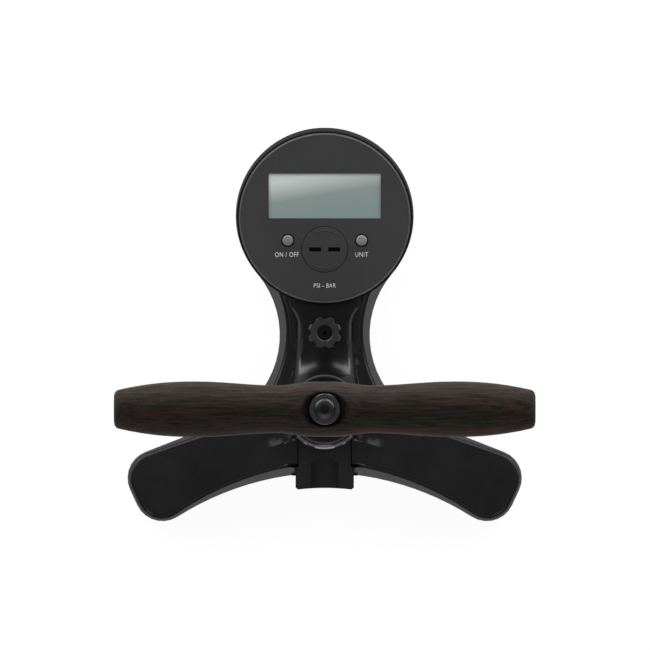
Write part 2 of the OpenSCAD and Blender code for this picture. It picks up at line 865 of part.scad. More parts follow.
module barrel() {
  color(gloss_black) bevel_ring(bore_r, barrel_r, barrel_z0, barrel_z1, tube_bevel);
}

module barrel_collar() {
  groove_z = hub_top_z + collar_h / 2;
  color(satin_black) difference() {
    bevel_ring(barrel_r + seat_gap, hub_neck_r, hub_top_z, hub_top_z + collar_h, edge);
    turned([
      [hub_neck_r - edge, groove_z], [hub_neck_r + over, groove_z - over],
      [hub_neck_r + over, groove_z + over]
    ]);
  }
}

module barrel_seal() {
  color(rubber_black) bevel_ring(bore_r + seal_inset, barrel_r - seal_inset, socket_z, barrel_z0, seal_bevel);
}

guide_r = rod_r + guide_wall;
guide_flange_h = 6;
wiper_h = 3;

module top_cap() {
  groove_z = cap_z0 + cap_groove_share * cap_skirt_h;
  step = cap_lip_step * cap_lip;
  color(satin_black) difference() {
    turned([
      [0, cap_z0], [cap_r - edge, cap_z0], [cap_r, cap_z0 + edge], [cap_r, cap_z1 - cap_lip],
      [cap_r - step, cap_z1 - step], [cap_r - cap_lip, cap_z1], [0, cap_z1]
    ]);
    rod_between(barrel_r + seat_gap, cap_z0 - over, barrel_z1);
    rod_between(guide_r + seat_gap, barrel_z1 - over, cap_z1 + over);
    turned([
      [cap_r - edge, groove_z], [cap_r + over, groove_z - over], [cap_r + over, groove_z + over]
    ]);
  }
}

module rod_guide() {
  z0 = barrel_z1 - guide_flange_h;
  flange_r = bore_r - seat_gap;
  color(brass) turned([
    [rod_r + run_gap, z0], [flange_r - edge, z0], [flange_r, z0 + edge], [flange_r, barrel_z1],
    [guide_r, barrel_z1], [guide_r, cap_z1 - wiper_h], [rod_r + run_gap, cap_z1 - wiper_h]
  ]);
}

module rod_wiper() {
  color(rubber_black) turned([
    [rod_r + wiper_lip, cap_z1 - wiper_h], [guide_r, cap_z1 - wiper_h], [guide_r, cap_z1],
    [rod_r + run_gap, cap_z1], [rod_r + run_gap, cap_z1 - wiper_lip]
  ]);
}

bumper_r = guide_r + bumper_wall;
bumper_bevel = 1;
bumper_waist = 1.4;

module cap_bumper() {
  waist_z = cap_z1 + bumper_h / 2;
  color(rubber_black) difference() {
    bevel_ring(rod_r + bumper_bevel, bumper_r, cap_z1, bumper_z1, bumper_bevel);
    turned([
      [bumper_r - bumper_bevel, waist_z], [bumper_r + over, waist_z - bumper_waist],
      [bumper_r + over, waist_z + bumper_waist]
    ]);
  }
}

module valve_body() {
  color(brass) difference() {
    rod_between(plug_thread_r, valve_z0, socket_z);
    rod_between(orifice_r, valve_z0 - over, socket_z + over);
    translate([0, 0, valve_z0]) cylinder(r1 = orifice_r + valve_chamfer, r2 = orifice_r, h = valve_chamfer);
  }
}

poppet_gap = 0.1;
poppet_z1 = valve_z0 - poppet_gap;
poppet_t = 1.4;
poppet_stem = 1.2;
poppet_nose = 0.6;

module valve_poppet() {
  z0 = poppet_z1 - poppet_t;
  color(steel) turned([
    [0, z0 - poppet_stem], [poppet_stem, z0 - poppet_stem], [poppet_stem, z0], [poppet_r, z0],
    [poppet_r, poppet_z1], [orifice_r, poppet_z1], [0, poppet_z1 + poppet_nose]
  ]);
}

plug_top_z = hub_z0 + plug_thread_h;
spring_wire_r = 0.2;
spring_r = 3.2;
spring_turns = 3;
spring_steps = 12;

// Rings along a coil with closed ends
function coil_ring(k) =
  let (
    a = 360 * k / spring_steps,
    t = k / (spring_steps * spring_turns),
    z = mix(plug_top_z + spring_wire_r, poppet_z1 - poppet_t - spring_wire_r, t)
  )
  [
    for (b = [0:60:300])
      let (r = spring_r + spring_wire_r * cos(b))
      [r * cos(a), r * sin(a), z + spring_wire_r * sin(b)]
  ];

module valve_spring() {
  color(steel) section_loft([for (k = [0:spring_steps * spring_turns]) coil_ring(k)]);
}

module bottom_plug() {
  color(brass) difference() {
    union() {
      bevel_ring(0, plug_thread_r + plug_head_wall, pad_h, hub_z0, 0);
      rod_between(plug_thread_r, hub_z0 - eps, plug_top_z);
    }
    translate([0, 0, pad_h - over]) cylinder(r = plug_key_r, h = over + plug_key_h, $fn = 6);
  }
}

module gallery_plug() {
  y0 = gallery_y1 + gallery_plug_gap;
  l = gallery_plug_l - 2 * gallery_plug_gap;
  color(steel) translate([0, y0, gallery_z]) rotate([-90, 0, 0]) difference() {
    cylinder(r = gallery_plug_r, h = l);
    translate([0, 0, l - gallery_key_h]) cylinder(r = gallery_key_r, h = gallery_key_h + over, $fn = 6);
  }
}

module hose_port() {
  floor_z = port_z1 - port_bore_h;
  nozzle_r = 1.9;
  nozzle_h = 1.2;
  moat_r = port_bore_d / 2 - moat_wall;
  color(dark_steel) translate([0, port_y, 0]) difference() {
    union() {
      rod_between(port_thread_r, spine_z - port_thread_h, spine_z);
      bevel_ring(0, port_flange_r, spine_z, spine_z + port_flange_h, 0);
      rod_between(port_post_r, spine_z + port_flange_h - eps, port_z1);
    }
    rod_between(port_bore_d / 2, floor_z, port_z1 + over);
    rod_between(nozzle_r / 2, spine_z - port_thread_h - over, port_z1);
    turned([
      [nozzle_r, floor_z - nozzle_h], [moat_r, floor_z - nozzle_h], [moat_r, floor_z + eps],
      [nozzle_r, floor_z + eps]
    ]);
  }
}

module hose_nut() {
  scallop_pcr = nut_d / 2 + scallop_out;
  color(dark_steel) translate([0, port_y, 0]) difference() {
    bevel_ring(0, nut_d / 2, nut_z0, nut_z1, edge);
    rod_between(port_bore_d / 2 + free_gap, nut_z0 - over, nut_z1 + over);
    rod_between(port_post_r + run_gap, nut_z0 - over, nut_z1 - nut_lip_h);
    at_angles(scallop_pcr, [for (k = [0:nut_lobes - 1]) 360 * k / nut_lobes])
      rod_between(scallop_r, nut_z0 - over, nut_z1 + over);
  }
}

// Plan of the holder, with its hollow outer end and rounded corners
module holder_plan() {
  w = holder_w / 2;
  arc_r = (w * w + holder_hollow * holder_hollow) / (2 * holder_hollow);
  arc_a = asin((w - holder_edge) / arc_r);
  arc_y = -holder_reach + holder_hollow - arc_r;
  polygon(concat(
    [[-w, -hub_r / 2], [-w, -holder_reach + holder_edge]],
    [for (a = [-arc_a:arc_a / holder_arc_n:arc_a]) [arc_r * sin(a), arc_y + arc_r * cos(a)]],
    [[w, -holder_reach + holder_edge], [w, -hub_r / 2]]
  ));
}

// Plan of the slot, grown on all sides by an amount
module slot_plan(grow) {
  w = slot_w + 2 * grow;
  translate([0, -slot_start - slot_end_r]) {
    intersection() {
      circle(r = slot_end_r + grow);
      square([w, 4 * slot_end_r], center = true);
    }
    translate([-w / 2, -holder_reach]) square([w, holder_reach]);
  }
}

// Room beside the holder for the wings and their leaning skirts
module skirt_relief() {
  z0 = holder_z0 - over;
  z1 = holder_z1 + over;
  both_sides() translate([holder_neck_w / 2, 0, 0]) rotate([90, 0, 90]) linear_extrude(holder_w)
    polygon([[holder_step_y + lean(z0), z0], [holder_step_y + lean(z1), z1], [0, z1], [0, z0]]);
}

module chuck_holder() {
  bevel = 0.8;
  color(satin_black) difference() {
    union() {
      translate([0, 0, holder_z0]) linear_extrude(holder_z1 - bevel - holder_z0) holder_plan();
      translate([0, 0, holder_z0]) linear_extrude(holder_z1 - holder_z0) intersection() {
        holder_plan();
        translate([-holder_w / 2 + bevel, -holder_reach + bevel])
          square([holder_w - 2 * bevel, holder_reach]);
      }
    }
    rod_between(hub_r + seat_gap, holder_z0 - over, holder_z1 + over);
    skirt_relief();
    translate([0, 0, slot_floor_z]) linear_extrude(holder_z1) slot_plan(0);
    translate([0, 0, holder_z1 - bevel]) linear_extrude(holder_z1) slot_plan(bevel / 2);
    for (side = [-1, 1]) translate([side * holder_screw_x, 0, holder_screw_z]) rotate([90, 0, 0]) {
      cylinder(r = holder_screw_r + screw_gap, h = holder_reach + over);
      translate([0, 0, holder_screw_seat])
        cylinder(r = holder_screw_head_r + screw_gap, h = holder_reach - holder_screw_seat + over);
    }
  }
}

module socket_screw(r, head_r, head_h, l, key_r) {
  difference() {
    union() {
      translate([0, 0, -head_h]) bevel_ring(0, head_r, 0, head_h, 0);
      translate([0, 0, -eps]) cylinder(r = r, h = l + eps);
    }
    translate([0, 0, -head_h - over]) cylinder(r = key_r, h = over + head_h * screw_key_share, $fn = 6);
  }
}

module holder_screws() {
  y_head = -holder_screw_seat;
  hub_face_y = -sqrt(pow(hub_r, 2) - pow(holder_screw_x, 2));
  color(dark_steel) for (side = [-1, 1])
    translate([side * holder_screw_x, y_head, holder_screw_z]) rotate([-90, 0, 0])
      socket_screw(holder_screw_r, holder_screw_head_r, holder_screw_head_h,
        hub_face_y - y_head + holder_screw_grip - over, holder_screw_head_r / 2);
}

tub_inner_r = gauge_r - tub_wall - 1.5;
bezel_seal_t = 1.2;
gauge_boss_z1 = board_z0 - gauge_boss_gap;
bezel_seal_in = 2.6;
bezel_seal_r = gauge_r - bezel_seal_in;

module gauge_housing() {
  color(satin_black) on_gauge() difference() {
    union() {
      difference() {
        turned([
          [0, 0], [gauge_foot_r, 0], [gauge_r, flank_z], [gauge_r, rim_join_z], [0, rim_join_z]
        ]);
        turned([
          [0, tub_floor], [gauge_foot_r - tub_wall, tub_floor], [tub_inner_r, flank_z],
          [tub_inner_r, rim_join_z + over], [0, rim_join_z + over]
        ]);
      }
      at_angles(gauge_screw_pcr, gauge_screw_angles)
        rod_between(gauge_boss_r, tub_floor - eps, gauge_boss_z1);
      at_angles(board_r - board_stand_in, [0, 180]) rod_between(board_stand_r, tub_floor - eps, board_z0);
      at_angles(post_pcr, post_angles) rod_between(post_r, tub_floor - eps, post_z0);
    }
    at_angles(gauge_screw_pcr, gauge_screw_angles)
      rod_between(gauge_screw_r + seat_gap, -over, gauge_boss_z1 - gauge_screw_gap);
    at_angles(post_pcr, post_angles) {
      rod_between(housing_screw_r + screw_gap, -over, post_z0 + over);
      rod_between(housing_head_r + head_gap, -over, housing_seat_z);
    }
    translate([0, -sensor_down, 0]) rod_between(sensor_stem_r + post_gap, -over, tub_floor + over);
    turned([
      [bezel_seal_r, rim_join_z - bezel_seal_t], [bezel_seal_r + bezel_seal_t, rim_join_z - bezel_seal_t],
      [bezel_seal_r + bezel_seal_t, rim_join_z + over], [bezel_seal_r, rim_join_z + over]
    ]);
  }
}

module bezel_seal() {
  r0 = bezel_seal_r + seat_gap;
  r1 = bezel_seal_r + bezel_seal_t - seat_gap;
  z0 = rim_join_z - bezel_seal_t;
  color(rubber_black) on_gauge() bevel_ring(r0, r1, z0, rim_join_z, seal_bevel);
}

bezel_top_z = gauge_h - 1.4;
bezel_lip = 0.6;
ledge_in = 4;
bezel_top_r = face_r + bezel_lip;
ledge_r = face_r - ledge_in;
ledge_t = 1.6;
face_gap = 0.1;

module gauge_bezel() {
  color(satin_black) on_gauge() difference() {
    union() {
      turned([
        [ledge_r, face_z0 - ledge_t], [tub_inner_r, rim_join_z], [gauge_r, rim_join_z],
        [bezel_top_r + edge, bezel_top_z - edge], [bezel_top_r, bezel_top_z],
        [face_r + face_gap, bezel_top_z], [face_r + face_gap, face_z0], [ledge_r, face_z0]
      ]);
      at_angles(post_pcr, post_angles) rod_between(post_r, post_z0, face_z0);
      for (a = post_angles) rotate([0, 0, a])
        translate([post_pcr, -ledge_t, face_z0 - (1 + arm_share) / 2 * ledge_t])
          cube([ledge_r + over - post_pcr, 2 * ledge_t, arm_share * ledge_t]);
    }
    at_angles(post_pcr, post_angles)
      rod_between(housing_screw_r + seat_gap, post_z0 - over, board_z1 + post_bore_over);
  }
}

// Plain sheet with rounded corners, centred
module rounded_sheet(w, h, r) {
  square([w - 2 * r, h], center = true);
  square([w, h - 2 * r], center = true);
  for (x = [-1, 1], y = [-1, 1]) translate([x * (w / 2 - r), y * (h / 2 - r)]) circle(r = r);
}

lug_turn = 60;

module lug_plan(r, angle, width) {
  intersection() {
    circle(r = r);
    rotate(angle) square([3 * r, width], center = true);
  }
}

module face_plate() {
  chamfer = edge;
  well_z = gauge_h - cover_well_h;
  seal_r0 = cover_skirt_r + seal_inset;
  seal_r1 = cover_r - seal_inset;
  color(satin_black) on_gauge() difference() {
    turned([
      [0, face_z0], [face_r, face_z0], [face_r, gauge_h - chamfer], [face_r - chamfer, gauge_h],
      [0, gauge_h]
    ]);
    translate([0, lcd_up, face_z0 - over]) linear_extrude(face_t + 2 * over)
      rounded_sheet(lcd_w, lcd_h, window_corner_r);
    for (side = [-1, 1]) translate([side * button_x, -button_down, 0]) {
      rod_between(button_r + run_gap, face_z0 - over, gauge_h + over);
      rod_between(button_well_r, gauge_h - button_well_h, gauge_h + over);
    }
    translate([0, -cover_down, 0]) {
      rod_between(cover_skirt_r + cover_run, face_z0 - over, gauge_h + over);
      rod_between(cover_r + cover_gap, well_z, gauge_h + over);
      translate([0, 0, face_z0 - over]) linear_extrude(well_z - face_z0 + over + eps)
        lug_plan(lug_r + lug_gap, lug_turn, lug_w + 2 * lug_gap);
      turned([
        [seal_r0, well_z - cover_seal_t], [seal_r1, well_z - cover_seal_t], [seal_r1, well_z + eps],
        [seal_r0, well_z + eps]
      ]);
    }
  }
}

module lcd_window() {
  color(lcd_grey, 0.4) on_gauge() translate([0, lcd_up, 0]) {
    translate([0, 0, face_z0 - eps]) linear_extrude(face_t - window_sink + eps)
      rounded_sheet(lcd_w - 2 * face_gap, lcd_h - 2 * face_gap, window_corner_r);
    translate([0, 0, face_z0 - window_flange_t]) linear_extrude(window_flange_t)
      rounded_sheet(lcd_w + 2 * window_flange, lcd_h + 2 * window_flange, window_corner_r);
  }
}

module lcd_panel() {
  color(lcd_grey) on_gauge() translate([0, lcd_up, board_z1])
    linear_extrude(face_z0 - window_flange_t - board_z1)
      rounded_sheet(lcd_w + window_flange, lcd_h + window_flange, window_corner_r);
}

module circuit_board() {
  color(board_green) on_gauge() difference() {
    rod_between(board_r, board_z0, board_z1);
    at_angles(post_pcr, post_angles) rod_between(post_r + post_gap, board_z0 - over, board_z1 + over);
  }
}

switch_h = 2.6;
switch_w = 6;
switch_cap_r = 1.6;
switch_cap_h = 0.6;
button_travel = 0.8;
button_rest = 0.1;
button_stem_r = 1.5;
button_flange_t = 0.9;
button_bevel = 0.4;
button_crown = 0.15;

module button_switches() {
  color(steel) on_gauge() for (side = [-1, 1]) translate([side * button_x, -button_down, board_z1]) {
    translate([-switch_w / 2, -switch_w / 2, 0]) cube([switch_w, switch_w, switch_h - switch_cap_h]);
    cylinder(r = switch_cap_r, h = switch_h);
  }
}

module push_button(side) {
  flange_z1 = face_z0 - button_rest;
  flange_z0 = flange_z1 - button_flange_t;
  stem_z0 = board_z1 + switch_h + button_travel + button_rest;
  top_z = gauge_h + button_proud;
  color(button_grey) on_gauge() translate([side * button_x, -button_down, 0]) turned([
    [0, stem_z0], [button_stem_r, stem_z0], [button_stem_r, flange_z0], [button_flange_r, flange_z0],
    [button_flange_r, flange_z1], [button_r, flange_z1], [button_r, top_z - button_bevel],
    [button_r - button_bevel, top_z], [0, top_z + button_crown]
  ]);
}

module power_button() {
  push_button(-1);
}

module unit_button() {
  push_button(1);
}

module pressure_sensor() {
  can_z0 = board_z0 - sensor_can_h;
  color(brass) on_gauge() translate([0, -sensor_down, 0]) difference() {
    union() {
      rod_between(sensor_can_r, can_z0, board_z0);
      rod_between(sensor_stem_r, -sensor_reach + sensor_tip_gap, can_z0 + eps);
    }
    rod_between(sensor_bore_r, -sensor_reach, can_z0 + sensor_can_h / 2);
  }
}

module sensor_seal() {
  color(rubber_black) on_gauge() translate([0, -sensor_down, 0])
    bevel_ring(sensor_stem_r + seat_gap, sensor_seal_r, -sensor_seal_h, 0, seal_bevel);
}

module battery_holder() {
  color(rubber_black) on_gauge() translate([0, -cover_down, 0]) difference() {
    rod_between(cell_r + cup_wall, board_z1, board_z1 + cup_h);
    rod_between(cell_r + cell_gap, board_z1 + holder_floor_t, board_z1 + cup_h + over);
  }
}

module coin_cell() {
  z0 = board_z1 + holder_floor_t;
  color(steel) on_gauge() translate([0, -cover_down, 0]) turned([
    [0, z0], [cell_r - cell_step, z0], [cell_r - cell_step, z0 + cell_lip], [cell_r, z0 + cell_round],
    [cell_r, z0 + cell_h], [0, z0 + cell_h]
  ]);
}

module battery_cover() {
  skirt_z0 = board_z1 + holder_floor_t + cell_h + free_gap;
  flange_z0 = gauge_h - cover_well_h + run_gap;
  color(satin_black) on_gauge() translate([0, -cover_down, 0]) difference() {
    union() {
      turned([
        [0, flange_z0], [cover_r, flange_z0], [cover_r, gauge_h - cover_bevel],
        [cover_r - cover_bevel, gauge_h],
        [0, gauge_h]
      ]);
      rod_between(cover_skirt_r, skirt_z0, flange_z0 + eps);
      translate([0, 0, skirt_z0]) linear_extrude(face_z0 - cover_run - skirt_z0) lug_plan(lug_r, 0, lug_w);
    }
    rod_between(cover_skirt_r - cover_wall, skirt_z0 - over, flange_z0 - cover_roof);
    for (side = [-1, 1])
      translate([side * (coin_bridge + coin_slot_l) / 4, 0, gauge_h + (over - coin_slot_h) / 2])
        cube([(coin_slot_l - coin_bridge) / 2, coin_slot_w, coin_slot_h + over], center = true);
  }
}

module cover_seal() {
  color(rubber_black) on_gauge() translate([0, -cover_down, 0])
    bevel_ring(cover_skirt_r + seal_inset + cover_run, cover_r - seal_inset - cover_run,
      gauge_h - cover_well_h - cover_seal_t, gauge_h - cover_well_h, seal_bevel / 2);
}

module gauge_screws() {
  head_z = -top_wall * cos(gauge_tilt);
  tip_z = gauge_boss_z1 - 2 * gauge_screw_gap;
  color(dark_steel) on_gauge() at_angles(gauge_screw_pcr, gauge_screw_angles) translate([0, 0, head_z])
    socket_screw(gauge_screw_r, gauge_head_r, gauge_head_h, tip_z - head_z, gauge_key_r);
}

module housing_screws() {
  color(dark_steel) on_gauge() at_angles(post_pcr, post_angles) translate([0, 0, housing_seat_z])
    socket_screw(housing_screw_r, housing_head_r, housing_head_h, board_z1 - housing_seat_z, housing_key_r);
}

seal_z = piston_z0 + ring_land;
wear_z = piston_z1 - ring_land - ring_h;

module piston_head() {
  groove_r = bore_r - ring_depth;
  color(steel) difference() {
    bevel_ring(rod_end_r + run_gap, piston_r, piston_z0, piston_z1, ring_bevel);
    for (z = [seal_z, wear_z]) turned([
      [groove_r, z], [bore_r + over, z], [bore_r + over, z + ring_h], [groove_r, z + ring_h]
    ]);
  }
}

module piston_seal() {
  r0 = bore_r - ring_depth + seat_gap;
  z0 = seal_z + ring_side_gap;
  color(rubber_black) bevel_ring(r0, bore_r - run_gap, z0, seal_z + ring_h - ring_side_gap, ring_bevel);
}

module wear_ring() {
  r0 = bore_r - ring_depth + seat_gap;
  z0 = wear_z + ring_side_gap;
  color(button_grey) bevel_ring(r0, bore_r - run_gap, z0, wear_z + ring_h - ring_side_gap, wear_bevel);
}

module piston_rod() {
  color(steel) difference() {
    union() {
      turned([
        [0, rod_shoulder_z], [rod_r - rod_bevel, rod_shoulder_z], [rod_r, rod_shoulder_z + rod_bevel],
        [rod_r, rod_top_z - edge], [rod_r - edge, rod_top_z], [0, rod_top_z]
      ]);
      rod_between(rod_end_r, piston_nut_z0, rod_shoulder_z + eps);
    }
    rod_between(bolt_r + seat_gap, rod_top_z - bolt_grip - over, rod_top_z + over);
  }
}

module piston_nut() {
  color(steel) difference() {
    translate([0, 0, piston_nut_z0]) cylinder(r = piston_nut_ratio * rod_end_r, h = piston_nut_h, $fn = 6);
    rod_between(rod_end_r + seat_gap, piston_nut_z0 - over, piston_nut_z1 + over);
  }
}

// Radius of the turned handle along its length
grip_fall = 2.2;
dish_flare = 1.1;
handle_end_round = 3;
handle_end_x = handle_len / 2 - handle_end_round;
handle_nose_r = 6.5;
function ease(t) = (1 - cos(180 * clamp01(t))) / 2;
function grip_share(x) = pow((x - handle_grip_x) / (handle_end_x - handle_grip_x), grip_fall);
function handle_r(x) =
  x <= handle_waist_x
    ? mix(handle_mid_d, handle_waist_d, ease((x - handle_mid_half) / (handle_waist_x - handle_mid_half))) / 2
    : x <= handle_grip_x
    ? mix(handle_waist_d, handle_grip_d, ease((x - handle_waist_x) / (handle_grip_x - handle_waist_x))) / 2
    : mix(handle_grip_d, handle_end_d, grip_share(x)) / 2;

handle_half = concat(
  [for (k = [0:5]) mix(handle_mid_half, handle_waist_x, k / 5)],
  [for (k = [1:6]) mix(handle_waist_x, handle_grip_x, k / 6)],
  [for (k = [1:7]) mix(handle_grip_x, handle_end_x, k / 7)]
);
handle_profile = concat(
  [for (x = handle_half) [handle_r(x), x]],
  [
    for (a = [30:30:90])
      [mix(handle_nose_r, handle_end_d / 2, cos(a)), handle_end_x + handle_end_round * sin(a)]
  ]
);

module handle_form() {
  n = len(handle_profile) - 1;
  back = [for (k = [n:-1:0]) [handle_profile[k].x, -handle_profile[k].y]];
  translate([0, 0, handle_z]) rotate([0, 90, 0])
    turned(concat([[0, -handle_len / 2]], back, handle_profile, [[0, handle_len / 2]]));
}

module handle_grip() {
  seat_r = washer_d / 2 + screw_gap;
  dish_h = 2 * recess_depth;
  dish_r = seat_r + dish_flare * dish_h;
  color(dark_wood) difference() {
    handle_form();
    rod_between(bolt_r + screw_gap, handle_z - handle_mid_d, handle_z + handle_mid_d);
    translate([0, 0, washer_z0]) cylinder(r1 = seat_r, r2 = dish_r, h = dish_h);
  }
}

saddle_foot = 3;
saddle_wrap = 5;
saddle_foot_wall = 3;
saddle_wall = 5.5;

module handle_saddle() {
  r0 = rod_r + saddle_foot_wall;
  r1 = rod_r + saddle_wall;
  z1 = saddle_z0 + saddle_drop + saddle_wrap;
  color(dark_steel) difference() {
    turned([
      [0, saddle_z0], [r0 - edge, saddle_z0], [r0, saddle_z0 + edge], [r0, saddle_z0 + saddle_foot],
      [r1, saddle_z0 + saddle_drop - saddle_foot], [r1, z1], [0, z1]
    ]);
    handle_form();
    rod_between(rod_r + seat_gap, saddle_z0 - over, rod_top_z);
    rod_between(bolt_r + screw_gap, rod_top_z - over, z1 + over);
  }
}

module handle_washer() {
  color(dark_steel) translate([0, 0, washer_z0])
    bevel_ring(bolt_r + screw_gap, washer_d / 2, 0, washer_t, edge / 2);
}

module handle_bolt() {
  z0 = washer_z0 + washer_t;
  z1 = z0 + bolt_head_h;
  head_r = bolt_head_d / 2;
  dome = [for (a = [0:15:75]) [head_r * cos(a), mix(z0 + bolt_rim_h, z1, sin(a))]];
  color(dark_steel) difference() {
    union() {
      turned(concat([[0, z0], [head_r, z0]], dome, [[0, z1]]));
      rod_between(bolt_r, rod_top_z - bolt_grip, z0 + eps);
    }
    translate([0, 0, z1 - bolt_key_h]) cylinder(r = bolt_key_r, h = bolt_key_h + over, $fn = 6);
  }
}

base_casting();
foot_pads();
barrel();
barrel_collar();
barrel_seal();
top_cap();
rod_guide();
rod_wiper();
cap_bumper();
valve_body();
valve_poppet();
valve_spring();
bottom_plug();
gallery_plug();
hose_port();
hose_nut();
chuck_holder();
holder_screws();
gauge_housing();
gauge_bezel();
bezel_seal();
face_plate();
lcd_window();
lcd_panel();
circuit_board();
button_switches();
pressure_sensor();
sensor_seal();
battery_holder();
coin_cell();
battery_cover();
cover_seal();
power_button();
unit_button();
gauge_screws();
housing_screws();
piston_head();
piston_seal();
wear_ring();
piston_rod();
piston_nut();
handle_saddle();
handle_grip();
handle_washer();
handle_bolt();
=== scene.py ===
"""Looks of a floor pump with a digital gauge: finishes, fine edges, face markings and studio."""

import logging
import math
from dataclasses import dataclass, replace
from enum import Enum
from typing import Callable, ClassVar, Iterable, Sequence

import bmesh
import bpy
from mathutils import Matrix, Vector


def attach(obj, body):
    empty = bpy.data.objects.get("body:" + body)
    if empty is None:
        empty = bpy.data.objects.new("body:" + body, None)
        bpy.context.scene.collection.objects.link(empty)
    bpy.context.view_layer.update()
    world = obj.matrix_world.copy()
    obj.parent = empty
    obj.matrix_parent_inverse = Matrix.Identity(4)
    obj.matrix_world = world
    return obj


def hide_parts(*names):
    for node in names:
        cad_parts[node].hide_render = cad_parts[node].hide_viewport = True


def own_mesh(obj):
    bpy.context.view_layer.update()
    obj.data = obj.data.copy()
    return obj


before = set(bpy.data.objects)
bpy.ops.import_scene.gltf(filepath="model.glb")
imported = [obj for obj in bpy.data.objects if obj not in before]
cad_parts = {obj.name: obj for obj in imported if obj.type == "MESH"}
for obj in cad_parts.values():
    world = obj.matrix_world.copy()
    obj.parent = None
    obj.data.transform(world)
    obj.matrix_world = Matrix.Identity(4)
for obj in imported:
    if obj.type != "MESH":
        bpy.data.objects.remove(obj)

LOG = logging.getLogger("floor_pump")
MM = 0.001

Colour = tuple[float, float, float]
Socket = bpy.types.NodeSocket


class Body(Enum):
    """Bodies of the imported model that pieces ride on."""

    BASE = "base"
    HANDLE = "handle"
    HOSE_NUT = "hose_nut"
    POWER_BUTTON = "power_button"
    UNIT_BUTTON = "unit_button"
    BATTERY_COVER = "battery_cover"


class Grain(Enum):
    """Ways in which a surface is worked."""

    CAST = "cast"
    MOULDED = "moulded"
    TURNED = "turned"
    GROUND = "ground"


class Graph:
    """Node tree of one material, with short ways to add and join nodes."""

    def __init__(self, name: str) -> None:
        """Starts a material with a Principled shader and Object coordinates.

        Args:
            name: Name of the material.
        """
        self.material = bpy.data.materials.new(name)
        self.material.use_nodes = True
        self.tree = self.material.node_tree
        self.shader = self.tree.nodes["Principled BSDF"]
        self.place: Socket = self.add("ShaderNodeTexCoord").outputs["Object"]

    def add(self, kind: str, **settings: object) -> bpy.types.Node:
        """Adds a node.

        Args:
            kind: Blender's type name of the node.
            **settings: Properties of the node.

        Returns:
            The new node.
        """
        node = self.tree.nodes.new(kind)
        for key, value in settings.items():
            setattr(node, key, value)
        return node

    def feed(self, socket: Socket, value: object) -> None:
        """Links a socket to an output, or sets its value.

        Args:
            socket: The input to fill.
            value: An output socket, or a plain value.
        """
        if isinstance(value, bpy.types.NodeSocket):
            self.tree.links.new(value, socket)
        else:
            socket.default_value = value

    def mapped(self, scale: Sequence[float] = (1, 1, 1), centre: Sequence[float] = (0, 0, 0)) -> Socket:
        """Moves and stretches the Object coordinates.

        Args:
            scale: Stretch along each axis, after the move.
            centre: Point of the object that becomes the origin, in metres.

        Returns:
            The mapped coordinates.
        """
        move = self.add("ShaderNodeMapping", vector_type="TEXTURE")
        self.feed(move.inputs["Vector"], self.place)
        move.inputs["Location"].default_value = centre
        stretch = self.add("ShaderNodeMapping")
        self.feed(stretch.inputs["Vector"], move.outputs["Vector"])
        stretch.inputs["Scale"].default_value = scale
        return stretch.outputs["Vector"]

    def noise(self, scale: float, detail: float = 3.0, where: Socket | None = None,
              rough: float = 0.55) -> Socket:
        """Cloudy noise.

        Args:
            scale: Cells per metre.
            detail: Octaves.
            where: Coordinates, or the object's own.
            rough: Share of the finer octaves.

        Returns:
            The noise value, from 0 to 1.
        """
        node = self.add("ShaderNodeTexNoise")
        self.feed(node.inputs["Vector"], where or self.place)
        node.inputs["Scale"].default_value = scale
        node.inputs["Detail"].default_value = detail
        node.inputs["Roughness"].default_value = rough
        return node.outputs["Fac"]

    def ramp(self, value: Socket, low: float, high: float, out_low: float, out_high: float) -> Socket:
        """Maps a value from one range to another, held at its ends.

        Args:
            value: The value to map.
            low: Start of its range.
            high: End of its range.
            out_low: Result at the start.
            out_high: Result at the end.

        Returns:
            The mapped value.
        """
        node = self.add("ShaderNodeMapRange", clamp=True)
        self.feed(node.inputs["Value"], value)
        for key, number in (("From Min", low), ("From Max", high), ("To Min", out_low), ("To Max", out_high)):
            node.inputs[key].default_value = number
        return node.outputs["Result"]

    def math(self, operation: str, a: object, b: object) -> Socket:
        """One arithmetic step on two values.

        Args:
            operation: Blender's name of the step.
            a: First value, or an output that gives it.
            b: Second value, or an output that gives it.

        Returns:
            The result.
        """
        node = self.add("ShaderNodeMath", operation=operation)
        self.feed(node.inputs[0], a)
        self.feed(node.inputs[1], b)
        return node.outputs["Value"]

    def blend(self, share: Socket, a: object, b: object) -> Socket:
        """Mixes two colours.

        Args:
            share: How much of the second colour shows.
            a: First colour, or an output that gives it.
            b: Second colour, or an output that gives it.

        Returns:
            The mixed colour.
        """
        node = self.add("ShaderNodeMix", data_type="RGBA")
        self.feed(node.inputs["Factor"], share)
        for socket, value in ((node.inputs[6], a), (node.inputs[7], b)):
            self.feed(socket, value if isinstance(value, bpy.types.NodeSocket) else (*value, 1.0))
        return node.outputs[2]

    def bump(self, height: Socket, depth: float, strength: float = 1.0) -> None:
        """Adds relief to the surface.

        Args:
            height: Height of the relief, from 0 to 1.
            depth: Depth of the relief in metres.
            strength: How strongly it shows.
        """
        node = self.add("ShaderNodeBump")
        self.feed(node.inputs["Height"], height)
        node.inputs["Distance"].default_value = depth
        node.inputs["Strength"].default_value = strength
        self.feed(self.shader.inputs["Normal"], node.outputs["Normal"])

    def set(self, **values: object) -> None:
        """Fills sockets of the shader.

        Args:
            **values: Values or outputs by socket name, with underscores for spaces.
        """
        for key, value in values.items():
            socket = self.shader.inputs[key.replace("_", " ")]
            if isinstance(value, tuple) and len(value) == 3:
                value = (*value, 1.0)
            self.feed(socket, value)


@dataclass(frozen=True)
class Surface:
    """What every finish has: the name of its material and its slot in the record."""

    name: str
    slot: str

    def material(self) -> bpy.types.Material:
        """Makes the material, each finish in its own way."""
        raise NotImplementedError


